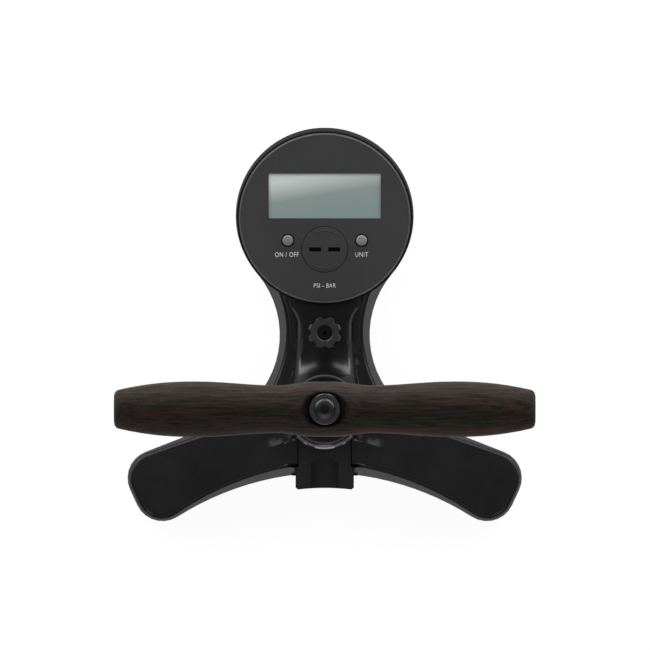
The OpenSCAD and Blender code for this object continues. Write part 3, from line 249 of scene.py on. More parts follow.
@dataclass(frozen=True)
class Finish(Surface):
    """A surface of one colour with the marks of how it was made.

    The colour is the mean. Soft blotches lighten and darken it, and the grain gives relief, whose depth is in
    millimetres, and uneven gloss. The edge value is the share of the reflection that stays at a slanting look.
    Scales are in cells per metre.
    """

    ring_scale: ClassVar[float] = 620.0
    ring_wobble: ClassVar[float] = 0.6
    ring_detail: ClassVar[float] = 2.0
    ring_detail_scale: ClassVar[float] = 900.0
    ground_scale: ClassVar[float] = 260.0
    ground_stretch: ClassVar[tuple[float, float, float]] = (18.0, 18.0, 1.0)
    cast_scale: ClassVar[float] = 620.0
    cast_fine_scale: ClassVar[float] = 2600.0
    cast_fine_share: ClassVar[float] = 0.35
    moulded_scale: ClassVar[float] = 3800.0
    blotch_scale: ClassVar[float] = 48.0
    blotch_range: ClassVar[tuple[float, float]] = (0.3, 0.7)
    blotch_share: ClassVar[float] = 0.6
    relief_share: ClassVar[float] = 0.4
    relief_strength: ClassVar[float] = 0.6
    glossy_below: ClassVar[float] = 0.3
    glossy_spread: ClassVar[float] = 0.08
    dull_spread: ClassVar[float] = 0.12

    colour: Colour
    roughness: float
    grain: Grain
    metallic: float = 0.0
    specular: float = 0.5
    mottle: float = 0.12
    depth: float = 0.02
    centre: tuple[float, float, float] = (0.0, 0.0, 0.0)
    edge: float = 1.0

    def relief(self, g: Graph) -> Socket:
        """Height of the surface's relief, by its grain.

        Args:
            g: Graph that the nodes go into.

        Returns:
            The height, from 0 to 1.
        """
        if self.grain is Grain.TURNED:
            rings = g.add("ShaderNodeTexWave", wave_type="RINGS", rings_direction="Z", wave_profile="SIN")
            g.feed(rings.inputs["Vector"], g.mapped(centre=self.centre))
            rings.inputs["Scale"].default_value = self.ring_scale
            rings.inputs["Distortion"].default_value = self.ring_wobble
            rings.inputs["Detail"].default_value = self.ring_detail
            rings.inputs["Detail Scale"].default_value = self.ring_detail_scale
            return rings.outputs["Fac"]
        if self.grain is Grain.GROUND:
            lines = g.mapped(scale=self.ground_stretch, centre=self.centre)
            return g.noise(self.ground_scale, detail=4.0, where=lines)
        if self.grain is Grain.CAST:
            fine = g.math("MULTIPLY", g.noise(self.cast_fine_scale, detail=1.0), self.cast_fine_share)
            return g.math("ADD", g.noise(self.cast_scale, detail=2.0), fine)
        return g.noise(self.moulded_scale, detail=2.0)

    def material(self) -> bpy.types.Material:
        """Makes the material.

        Returns:
            The new material.
        """
        g = Graph(self.name)
        blotch = g.ramp(g.noise(self.blotch_scale, detail=4.0), *self.blotch_range, 0.0, 1.0)
        dark = tuple(c * (1.0 - self.mottle) for c in self.colour)
        pale = tuple(min(1.0, c * (1.0 + self.mottle)) for c in self.colour)
        relief = self.relief(g)
        spread = self.glossy_spread if self.roughness < self.glossy_below else self.dull_spread
        wear = g.math("ADD", g.math("MULTIPLY", blotch, self.blotch_share),
                      g.math("MULTIPLY", relief, self.relief_share))
        g.set(
            Base_Color=g.blend(blotch, dark, pale),
            Roughness=g.ramp(wear, 0.0, 1.0, self.roughness - spread / 2, self.roughness + spread / 2),
            Metallic=self.metallic,
            Specular_IOR_Level=self.specular,
            Specular_Tint=(self.edge, self.edge, self.edge),
        )
        g.bump(relief, self.depth * MM, self.relief_strength)
        return g.material


@dataclass(frozen=True)
class DarkWood(Surface):
    """Dark stained hardwood with its grain along the handle.

    Scales are in cells per metre, and a stretch below 1 draws the pattern out along the handle. The seat is an
    oval round the washer, where painted shade darkens the wood in place of the recess's shadow.
    """

    name: str = "dark_wood"
    slot: str = "wood"
    dark: Colour = (0.0165, 0.0138, 0.0120)
    pale: Colour = (0.046, 0.0365, 0.0310)
    red: Colour = (0.060, 0.0285, 0.0245)
    pore: Colour = (0.007, 0.0055, 0.005)
    # Colour of the painted shade in the oval round the washer.
    seat_shade: Colour = (0.0070, 0.0056, 0.0048)
    fibre_scale: float = 900.0
    fibre_stretch: float = 0.06
    fibre_range: tuple[float, float] = (0.34, 0.68)
    fibre_height: float = 0.5
    band_scale: float = 230.0
    band_stretch: float = 0.05
    band_range: tuple[float, float] = (0.52, 0.68)
    band_share: float = 0.75
    pore_scale: float = 2400.0
    pore_stretch: float = 0.025
    pore_range: tuple[float, float] = (0.30, 0.42)
    pore_share: float = 0.75
    seat_scale: tuple[float, float, float] = (1.0 / (11.8 * MM), 1.0 / (9.3 * MM), 0.0)
    seat_range: tuple[float, float] = (0.90, 1.06)
    seat_shade_share: float = 0.85
    wear_range: tuple[float, float] = (0.2, 1.3)
    roughness: tuple[float, float] = (0.48, 0.72)
    specular: float = 0.03
    relief: float = 0.05 * MM
    relief_strength: float = 0.7

    def along(self, g: Graph, stretch: float) -> Socket:
        """Coordinates about the handle's axis, drawn out along it."""
        return g.mapped(scale=(stretch, 1.0, 1.0), centre=(0.0, 0.0, Handle.axis_z))

    def material(self) -> bpy.types.Material:
        """Makes the material: long streaks, reddish bands, fine pores, an oiled sheen and painted shade round
        the washer.

        Returns:
            The new material.
        """
        g = Graph(self.name)
        fibre = g.noise(self.fibre_scale, detail=5.0, where=self.along(g, self.fibre_stretch), rough=0.62)
        band = g.noise(self.band_scale, detail=3.0, where=self.along(g, self.band_stretch), rough=0.5)
        pores = g.noise(self.pore_scale, detail=2.0, where=self.along(g, self.pore_stretch))
        streaks = g.blend(g.ramp(fibre, *self.fibre_range, 0.0, 1.0), self.dark, self.pale)
        warm = g.blend(g.ramp(band, *self.band_range, 0.0, self.band_share), streaks, self.red)
        pit = g.ramp(pores, *self.pore_range, 1.0, 0.0)
        deep = g.blend(g.math("MULTIPLY", pit, self.pore_share), warm, self.pore)
        away = g.add("ShaderNodeVectorMath", operation="LENGTH")
        g.feed(away.inputs[0], g.mapped(scale=self.seat_scale))
        # Painted shade: the wood darkens in an oval round the washer, in place of the recess's shadow.
        seat = g.ramp(away.outputs["Value"], *self.seat_range, self.seat_shade_share, 0.0)
        g.set(
            Base_Color=g.blend(seat, deep, self.seat_shade),
            Roughness=g.ramp(g.math("ADD", fibre, pit), *self.wear_range, *self.roughness),
            Specular_IOR_Level=self.specular,
        )
        height = g.math("SUBTRACT", g.math("MULTIPLY", fibre, self.fibre_height), pit)
        g.bump(height, self.relief, self.relief_strength)
        return g.material


@dataclass(frozen=True)
class ClearWindow(Surface):
    """Clear plastic of the display window."""

    name: str = "window_clear"
    slot: str = "window_clear"
    tint: Colour = (0.60, 0.64, 0.63)
    ripple_scale: float = 140.0
    ripple_range: tuple[float, float] = (0.3, 0.7)
    roughness: tuple[float, float] = (0.02, 0.06)
    veil: float = 0.05

    def material(self) -> bpy.types.Material:
        """Makes the material: clear, with the faint unevenness of a moulded sheet.

        Returns:
            The new material.
        """
        g = Graph(self.name)
        g.set(
            Base_Color=self.tint,
            Roughness=g.ramp(g.noise(self.ripple_scale), *self.ripple_range, *self.roughness),
            Alpha=self.veil,
        )
        return g.material


@dataclass(frozen=True)
class DisplayGlass(Surface):
    """Unlit grey-green display behind the window, with a painted reflection that makes it paler towards one
    corner.
    """

    name: str = "display_glass"
    slot: str = "display"
    # pale is a painted reflection in the upper left corner; mid and dim are the rest, a little darker along the
    # slant.
    pale: Colour = (0.74, 0.82, 0.79)
    mid: Colour = (0.315, 0.380, 0.358)
    dim: Colour = (0.265, 0.363, 0.350)
    lean: float = 0.40
    reflection_range: tuple[float, float] = (-0.95, -0.05)
    dim_range: tuple[float, float] = (-0.1, 1.0)
    cell_scale: float = 5200.0
    cell_range: tuple[float, float] = (0.3, 0.7)
    cell_shade: float = 0.015
    roughness: float = 0.42
    specular: float = 0.3

    def material(self) -> bpy.types.Material:
        """Makes the material: a slanting fade, painted as a reflection, with the fine cells of the film.

        Returns:
            The new material.
        """
        g = Graph(self.name)
        centre = Gauge.at(0.0, Gauge.display_up, Gauge.face_z)
        flat = g.add("ShaderNodeSeparateXYZ")
        g.feed(flat.inputs[0], g.mapped(centre=tuple(centre)))
        across = g.math("DIVIDE", flat.outputs["X"], Gauge.display_half_w / self.lean)
        down = g.math("DIVIDE", flat.outputs["Y"], -Gauge.display_half_h)
        slant = g.math("ADD", across, down)
        grid = g.noise(self.cell_scale, detail=1.0)
        cells = g.ramp(grid, *self.cell_range, -self.cell_shade, self.cell_shade)
        # Painted reflection: the display pales towards the upper left corner along the slant.
        fade = g.ramp(slant, *self.reflection_range, 0.0, 1.0)
        lower = g.blend(g.ramp(slant, *self.dim_range, 0.0, 1.0), self.mid, self.dim)
        g.set(
            Base_Color=g.blend(g.math("ADD", fade, cells), self.pale, lower),
            Roughness=self.roughness,
            Specular_IOR_Level=self.specular,
        )
        return g.material


@dataclass(frozen=True)
class MarkingPaint(Surface):
    """Pale printed marks on the face."""

    name: str = "marking_paint"
    slot: str = "face_plate"
    thick: Colour = (0.95, 0.95, 0.95)
    thin: Colour = (0.76, 0.76, 0.76)
    patch_scale: float = 1800.0
    patch_range: tuple[float, float] = (0.35, 0.65)
    roughness: float = 0.5
    specular: float = 0.3

    def material(self) -> bpy.types.Material:
        """Makes the material: white ink, thinner in places.

        Returns:
            The new material.
        """
        g = Graph(self.name)
        worn_and_lit = g.ramp(g.noise(self.patch_scale), *self.patch_range, 0.0, 1.0)
        g.set(
            Base_Color=g.blend(worn_and_lit, self.thick, self.thin),
            Roughness=self.roughness,
            Specular_IOR_Level=self.specular,
        )
        return g.material


class Shop:
    """Makes meshes and dresses nodes, so that every sub-assembly does it in the same way."""

    paints: ClassVar[dict[str, bpy.types.Material]] = {}
    copy_merge: ClassVar[float] = 0.002 * MM
    copy_flat: ClassVar[float] = math.radians(0.2)
    edge_segments: ClassVar[int] = 2
    face_weight: ClassVar[int] = 50
    full_turn: ClassVar[float] = 360.0
    spin_step: ClassVar[float] = 3.0
    spin_least: ClassVar[int] = 12
    spin_merge: ClassVar[float] = 0.001 * MM

    @classmethod
    def paint(cls, finish: Surface) -> bpy.types.Material:
        """The material of a finish, made once.

        Args:
            finish: The finish.

        Returns:
            Its material.
        """
        if finish.name not in cls.paints:
            cls.paints[finish.name] = finish.material()
        return cls.paints[finish.name]

    @classmethod
    def coat(cls, nodes: Iterable[str], finish: Surface) -> None:
        """Gives CAD nodes a finish, as they are.

        Args:
            nodes: Names of the nodes.
            finish: Their finish.
        """
        for name in nodes:
            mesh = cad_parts[name].data
            mesh.materials.clear()
            mesh.materials.append(cls.paint(finish))
            LOG.info("coated %s with %s", name, finish.name)

    @classmethod
    def place(cls, name: str, shape: bmesh.types.BMesh, finish: Surface, body: Body,
              smooth: float = 35.0) -> bpy.types.Object:
        """Turns a finished shape into a piece that rides on a body.

        Args:
            name: Name of the piece.
            shape: Its shape, in place.
            finish: Its finish.
            body: The body that it rides on.
            smooth: Edges sharper than this angle stay sharp, in degrees.

        Returns:
            The new piece.
        """
        mesh = bpy.data.meshes.new(name)
        shape.to_mesh(mesh)
        shape.free()
        mesh.shade_smooth()
        mesh.set_sharp_from_angle(angle=math.radians(smooth))
        mesh.materials.append(cls.paint(finish))
        piece = bpy.data.objects.new(name, mesh)
        bpy.context.scene.collection.objects.link(piece)
        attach(piece, body.value)
        LOG.info("made %s on %s", name, body.value)
        return piece

    @classmethod
    def refine(cls, node: str, finish: Surface, body: Body, edge: float = 0.0,
               smooth: float = 35.0) -> bpy.types.Object:
        """Replaces a CAD node by a smooth copy with fine rounded edges.

        Args:
            node: Name of the node.
            finish: Finish of the piece.
            body: The body that it rides on.
            edge: Width of the rounded edges in metres, or 0 for none.
            smooth: Edges sharper than this angle are rounded and stay sharp, in degrees.

        Returns:
            The piece that stands for the node.
        """
        shape = bmesh.new()
        shape.from_mesh(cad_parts[node].data)
        bmesh.ops.remove_doubles(shape, verts=shape.verts, dist=cls.copy_merge)
        bmesh.ops.dissolve_limit(shape, angle_limit=cls.copy_flat, verts=shape.verts, edges=shape.edges)
        piece = cls.place(node + "_skin", shape, finish, body, smooth)
        if edge > 0.0:
            bevel = piece.modifiers.new("fine_edges", "BEVEL")
            bevel.width = edge
            bevel.segments = cls.edge_segments
            bevel.limit_method = "ANGLE"
            bevel.angle_limit = math.radians(smooth)
        even = piece.modifiers.new("even_shading", "WEIGHTED_NORMAL")
        even.mode = "FACE_AREA"
        even.weight = cls.face_weight
        even.keep_sharp = True
        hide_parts(node)
        return piece

    @classmethod
    def accent(cls, piece: bpy.types.Object, finish: Surface,
               inside: Callable[[Vector, Vector], bool]) -> None:
        """Gives some faces of a piece a second finish.

        Args:
            piece: The piece.
            finish: Finish of the chosen faces.
            inside: Tells whether a face is chosen, from its centre and its normal.
        """
        piece.data.materials.append(cls.paint(finish))
        index = len(piece.data.materials) - 1
        for face in piece.data.polygons:
            if inside(face.center, face.normal):
                face.material_index = index

    @classmethod
    def ring(cls, profile: Sequence[tuple[float, float]], seat: Matrix, sweep: float = full_turn,
             start: float = 0.0) -> bmesh.types.BMesh:
        """Spins a closed profile about an axis.

        Args:
            profile: Radius and height of its points, in metres, in order round the profile.
            seat: Matrix from the axis's own frame to the row frame.
            sweep: Angle of the spin in degrees.
            start: Angle at which it starts, in degrees.

        Returns:
            The ring, or the arc with closed ends.
        """
        shape = bmesh.new()
        verts = [shape.verts.new((r, 0.0, z)) for r, z in profile]
        face = shape.faces.new(verts)
        bmesh.ops.rotate(shape, verts=verts, matrix=Matrix.Rotation(math.radians(start), 3, "Z"))
        steps = max(cls.spin_least, round(sweep / cls.spin_step))
        bmesh.ops.spin(shape, geom=[face, *face.edges, *verts], cent=(0.0, 0.0, 0.0), axis=(0.0, 0.0, 1.0),
                       angle=math.radians(sweep), steps=steps, use_merge=sweep >= cls.full_turn)
        bmesh.ops.remove_doubles(shape, verts=shape.verts, dist=cls.spin_merge)
        bmesh.ops.recalc_face_normals(shape, faces=shape.faces)
        bmesh.ops.transform(shape, matrix=seat, verts=shape.verts)
        return shape


@dataclass(frozen=True)
class Shoulder:
    """Smooth skin over the shoulder that falls from the hub onto a wing, a hair above the cast facets.

    A point is given by s, along the wing from the hub, t, across it, and its height over the casting's top.
    """

    hub_y: float = -8.0 * MM
    bearing: float = math.radians(-20.23)
    root_s: float = 12.1 * MM
    start_s: float = 15.0 * MM
    end_s: float = 40.0 * MM
    rise: float = 9.0 * MM
    crease_t: float = -1.5 * MM
    crest_t: float = 7.5 * MM
    back_t: float = 14.0 * MM
    spread: float = 0.32
    lift: float = -0.1 * MM
    depth: float = -2.6 * MM
    wing_root: tuple[float, float] = (20.8 * MM, 24.0 * MM)
    wing_tip: tuple[float, float] = (88.4 * MM, 9.0 * MM)
    seat: tuple[float, float] = (100.0 * MM, 30.0 * MM)
    seat_slope: float = math.tan(math.radians(9.0))
    seat_blend: float = 32.0 * MM
    steps: int = 48
    across: int = 18

    def top(self, x: float, y: float) -> float:
        """Height of the casting's top.

        Args:
            x: Distance across.
            y: Distance towards the gauge.

        Returns:
            The height over the floor.
        """
        along = min(1.0, max(0.0, (x - self.wing_root[0]) / (self.wing_tip[0] - self.wing_root[0])))
        wing = self.wing_root[1] + along * (self.wing_tip[1] - self.wing_root[1])
        share = min(1.0, max(0.0, y / self.seat_blend))
        share = share * share * (3.0 - 2.0 * share)
        return wing + share * (self.seat[1] + (y - self.seat[0]) * self.seat_slope - wing)

    def point(self, s: float, t: float, up: float) -> Vector:
        """A point of the right shoulder.

        Args:
            s: Distance along the wing.
            t: Distance across the wing.
            up: Height over the casting's top.

        Returns:
            The point in the row frame.
        """
        along, over = math.cos(self.bearing), math.sin(self.bearing)
        x, y = s * along - t * over, self.hub_y + s * over + t * along
        return Vector((x, y, self.top(x, y) + up))

    def section(self, s: float) -> list[Vector]:
        """One closed section across the shoulder.

        Args:
            s: Distance along the wing.

        Returns:
            The section's points, from the crease over the crest to the back.
        """
        fade = 1.0 - min(1.0, max(0.0, (s - self.start_s) / (self.end_s - self.start_s)))
        height = self.rise * fade * fade
        back = self.back_t + self.spread * (self.end_s - s)
        points = [self.point(s, self.crease_t, self.depth)]
        for i in range(2 * self.across + 1):
            u = i / self.across
            low, high, share = (self.crease_t, self.crest_t, u) if u <= 1.0 else (self.crest_t, back, u - 1.0)
            up = height * math.sin(u * math.pi / 2.0) + self.lift
            points.append(self.point(s, low + share * (high - low), up))
        points.append(self.point(s, back, self.depth))
        return points

    def build(self, side: float) -> bmesh.types.BMesh:
        """Lofts the skin of one side.

        Args:
            side: 1 for the right wing, -1 for the left one.

        Returns:
            The closed skin.
        """
        shape = bmesh.new()
        rings = []
        for k in range(self.steps + 1):
            s = self.end_s + k / self.steps * (self.root_s - self.end_s)
            rings.append([shape.verts.new((side * p.x, p.y, p.z)) for p in self.section(s)])
        count = len(rings[0])
        for near, far in zip(rings, rings[1:]):
            for i in range(count):
                j = (i + 1) % count
                shape.faces.new((near[i], near[j], far[j], far[i]))
        shape.faces.new(rings[0])
        shape.faces.new(rings[-1])
        bmesh.ops.recalc_face_normals(shape, faces=shape.faces)
        return shape


@dataclass
class Base:
    """Cast base, its feet, and the air parts hidden in it."""

    paint: Finish = Finish("cast_base_paint", "cast_base", (0.050, 0.050, 0.0505), 0.25, Grain.CAST,
                           metallic=0.9, specular=0.3, depth=0.003, edge=0.35)
    # Slightly darker, rougher copy of the paint on the sweep: partly painted shade, dimming its reflections.
    soft: Finish = replace(paint, name="cast_base_sweep_shade", colour=(0.042, 0.042, 0.0424), roughness=0.33)
    # Darker, rougher copy of the paint on the rounded edges: painted shade that dims their reflections.
    edge_shade: Finish = replace(paint, name="cast_base_edge_shade", colour=(0.020, 0.020, 0.0202), roughness=0.42)
    ring: Finish = Finish("hub_ring", "cast_base", (0.20, 0.20, 0.202), 0.30, Grain.TURNED, metallic=1.0,
                          depth=0.002)
    rubber: Finish = Finish("foot_rubber", "rubber", (0.016, 0.016, 0.016), 0.75, Grain.MOULDED,
                            specular=0.25)
    brass: Finish = Finish("turned_brass", "brass", (0.72, 0.50, 0.22), 0.28, Grain.TURNED, metallic=1.0,
                           depth=0.004)
    steel: Finish = Finish("ground_steel", "bright_steel", (0.60, 0.61, 0.63), 0.25, Grain.GROUND,
                           metallic=1.0, depth=0.003)
    shoulder: Shoulder = Shoulder()
    smooth: float = 28.0
    ring_r: tuple[float, float] = (17.7 * MM, 20.95 * MM)
    ring_z: tuple[float, float] = (24.9 * MM, 30.9 * MM)
    edge_lean: tuple[float, float] = (0.35, 0.93)
    edge_low: float = 8.0 * MM
    wing_lean: float = 0.974
    spine_half_w: float = 16.5 * MM
    spine_y: tuple[float, float] = (8.0 * MM, 75.0 * MM)
    sweep_y: float = 36.0 * MM
    sweep_low: float = 20.0 * MM
    sweep_lean: float = 0.992
    valve_lift: float = 1.5 * MM

    def on_ring(self, centre: Vector, _normal: Vector) -> bool:
        """Whether a face of the casting lies on the turned flare round the hub."""
        away = math.hypot(centre.x, centre.y)
        return self.ring_r[0] < away < self.ring_r[1] and self.ring_z[0] < centre.z < self.ring_z[1]

    def on_edge(self, centre: Vector, normal: Vector) -> bool:
        """Whether a face of the casting lies on a rounded top edge of the wings, the neck or the pod.

        Args:
            centre: Middle of the face.
            normal: The way that it looks.

        Returns:
            True if it does.
        """
        spine = abs(centre.x) < self.spine_half_w and self.spine_y[0] < centre.y < self.spine_y[1]
        flattest = self.wing_lean if centre.y < 0.0 else self.edge_lean[1]
        return self.edge_lean[0] < normal.z < flattest and centre.z > self.edge_low and not spine

    def on_sweep(self, centre: Vector, normal: Vector) -> bool:
        """Whether a face of the casting lies where the spine sweeps up to the hub."""
        inside = abs(centre.x) < self.spine_half_w and self.spine_y[0] < centre.y < self.sweep_y
        return inside and centre.z > self.sweep_low and 0.0 < normal.z < self.sweep_lean

    def dress(self) -> None:
        """Dresses the casting, the pads and the valve."""
        casting = Shop.refine("base_casting", self.paint, Body.BASE, smooth=self.smooth)
        # Painted shade: darker copies of the paint dim the reflections on the rounded edges and on the sweep.
        Shop.accent(casting, self.edge_shade, self.on_edge)
        # Painted shade on the sweep, dimming its reflections.
        Shop.accent(casting, self.soft, self.on_sweep)
        Shop.accent(casting, self.ring, self.on_ring)
        for name, side in (("shoulder_right", 1.0), ("shoulder_left", -1.0)):
            Shop.place(name, self.shoulder.build(side), self.paint, Body.BASE)
        Shop.refine("foot_pads", self.rubber, Body.BASE, edge=0.25 * MM)
        Shop.coat(("barrel_seal", "sensor_seal"), self.rubber)
        Shop.coat(("valve_body", "bottom_plug"), self.brass)
        Shop.coat(("valve_poppet", "gallery_plug"), self.steel)
        spring = Shop.refine("valve_spring", self.steel, Body.BASE)
        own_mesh(spring)


@dataclass
class Barrel:
    """Barrel with its collar, cap, guide and bumper."""

    gloss: Finish = Finish("barrel_gloss", "barrel_paint", (0.010, 0.010, 0.0105), 0.18, Grain.GROUND,
                           specular=0.35, depth=0.001)
    anodised: Finish = Finish("anodised_black", "anodised_black", (0.020, 0.020, 0.021), 0.45, Grain.TURNED,
                              metallic=0.2, specular=0.1, depth=0.003)
    rubber: Finish = Base.rubber
    brass: Finish = Base.brass

    def dress(self) -> None:
        """Dresses the barrel's pieces."""
        Shop.refine("barrel", self.gloss, Body.BASE)
        Shop.refine("barrel_collar", self.anodised, Body.BASE, edge=0.2 * MM)
        Shop.refine("top_cap", self.anodised, Body.BASE, edge=0.2 * MM)
        Shop.refine("cap_bumper", self.rubber, Body.BASE, edge=0.3 * MM)
        Shop.coat(("rod_wiper",), self.rubber)
        Shop.coat(("rod_guide",), self.brass)


@dataclass
class Plunger:
    """Piston, its rings and the rod."""

    alloy: Finish = Finish("turned_alloy", "alloy", (0.62, 0.62, 0.64), 0.30, Grain.TURNED, metallic=1.0,
                           depth=0.004)
    ring: Finish = Finish("wear_plastic", "wear_plastic", (0.66, 0.66, 0.63), 0.45, Grain.MOULDED)
    steel: Finish = Base.steel
    rubber: Finish = Base.rubber

    def dress(self) -> None:
        """Dresses the plunger's pieces."""
        Shop.refine("piston_rod", self.steel, Body.HANDLE)
        Shop.coat(("piston_nut",), self.steel)
        Shop.coat(("piston_head",), self.alloy)
        Shop.coat(("piston_seal",), self.rubber)
        Shop.coat(("wear_ring",), self.ring)


@dataclass
class Handle:
    """Turned wooden handle on its saddle, with bolt and washer."""

    wood: DarkWood = DarkWood()
    oxide: Finish = Finish("black_oxide", "dark_steel", (0.110, 0.110, 0.111), 0.36, Grain.TURNED,
                           metallic=0.8, depth=0.004)
    bolt: Finish = replace(oxide, name="bolt_oxide", colour=(0.042, 0.042, 0.043), roughness=0.38,
                           depth=0.003)
    axis_z: float = 632.0 * MM

    def dress(self) -> None:
        """Dresses the handle's pieces."""
        Shop.refine("handle_grip", self.wood, Body.HANDLE, edge=0.35 * MM)
        Shop.refine("handle_saddle", self.oxide, Body.HANDLE, edge=0.2 * MM)
        Shop.refine("handle_washer", self.oxide, Body.HANDLE, edge=0.1 * MM)
        Shop.refine("handle_bolt", self.bolt, Body.HANDLE, edge=0.12 * MM)


@dataclass
class HosePort:
    """Port with its lobed nut."""

    axis_y: float = 39.7 * MM
    nozzle_r: float = 2.05 * MM
    metal: Finish = Finish("port_anodised", "port_metal", (0.048, 0.048, 0.049), 0.34, Grain.TURNED,
                           metallic=0.5, depth=0.003, centre=(0.0, axis_y, 0.0))
    bare: Finish = replace(metal, name="nozzle_metal", colour=(0.10, 0.10, 0.101), roughness=0.4,
                           metallic=0.6)

    def on_nozzle(self, centre: Vector, _normal: Vector) -> bool:
        """Whether a face of the port lies on the nozzle inside the socket."""
        return math.hypot(centre.x, centre.y - self.axis_y) < self.nozzle_r

    def dress(self) -> None:
        """Dresses the port and the nut."""
        port = Shop.refine("hose_port", self.metal, Body.BASE, edge=0.15 * MM)
        Shop.accent(port, self.bare, self.on_nozzle)
        Shop.refine("hose_nut", self.metal, Body.HOSE_NUT, edge=0.25 * MM)


@dataclass
class ChuckHolder:
    """Moulded holder with its U slot, and its screws."""

    plastic: Finish = Finish("holder_plastic", "holder_plastic", (0.0115, 0.0115, 0.0117), 0.42,
                             Grain.MOULDED, specular=0.3)
    # Paler copy of the plastic for the slot floor: painted light that lifts the floor out of its shade.
    worn_and_lit: Finish = replace(plastic, name="holder_slot_lit", colour=(0.030, 0.030, 0.0303), roughness=0.5)
    oxide: Finish = Handle.oxide
    slot_half_w: float = 6.9 * MM
    slot_back: float = -25.0 * MM
    slot_floor: tuple[float, float] = (8.0 * MM, 9.6 * MM)

    def in_slot(self, centre: Vector, _normal: Vector) -> bool:
        """Whether a face of the holder lies on the floor of its slot."""
        inside = abs(centre.x) < self.slot_half_w and centre.y < self.slot_back
        return inside and self.slot_floor[0] < centre.z < self.slot_floor[1]

    def dress(self) -> None:
        """Dresses the holder and its screws."""
        holder = Shop.refine("chuck_holder", self.plastic, Body.BASE, edge=0.3 * MM)
        # Painted light on the slot floor.
        Shop.accent(holder, self.worn_and_lit, self.in_slot)
        Shop.coat(("holder_screws",), self.oxide)


@dataclass(frozen=True)
class Mark:
    """A short printed mark, placed by its centre on the gauge's face.

    The size is the height of the letters' box, and the squeeze is their width as a share of the usual width.
    """

    name: str
    words: str
    x: float
    y: float
    size: float = 3.5 * MM
    squeeze: float = 0.78
    space: float = 1.12
    thinning: float = 0.004

    def build(self, seat: Matrix) -> bmesh.types.BMesh:
        """Makes the mark's flat shape.

        Args:
            seat: Matrix from the mark's plane to the row frame.

        Returns:
            The shape, in place.
        """
        curve = bpy.data.curves.new(self.name, "FONT")
        curve.body = self.words
        curve.align_x = "CENTER"
        curve.align_y = "CENTER"
        curve.size = self.size
        curve.space_character = self.space
        curve.offset = -self.thinning * self.size
        text = bpy.data.objects.new(self.name, curve)
        bpy.context.scene.collection.objects.link(text)
        bpy.context.view_layer.update()
        shape = bmesh.new()
        shape.from_mesh(text.to_mesh())
        text.to_mesh_clear()
        bpy.data.objects.remove(text)
        bpy.data.curves.remove(curve)
        width = Matrix.Diagonal((self.squeeze, 1.0, 1.0, 1.0))
        place = Matrix.Translation((self.x, self.y, 0.0))
        bmesh.ops.transform(shape, matrix=seat @ place @ width, verts=shape.verts)
        return shape


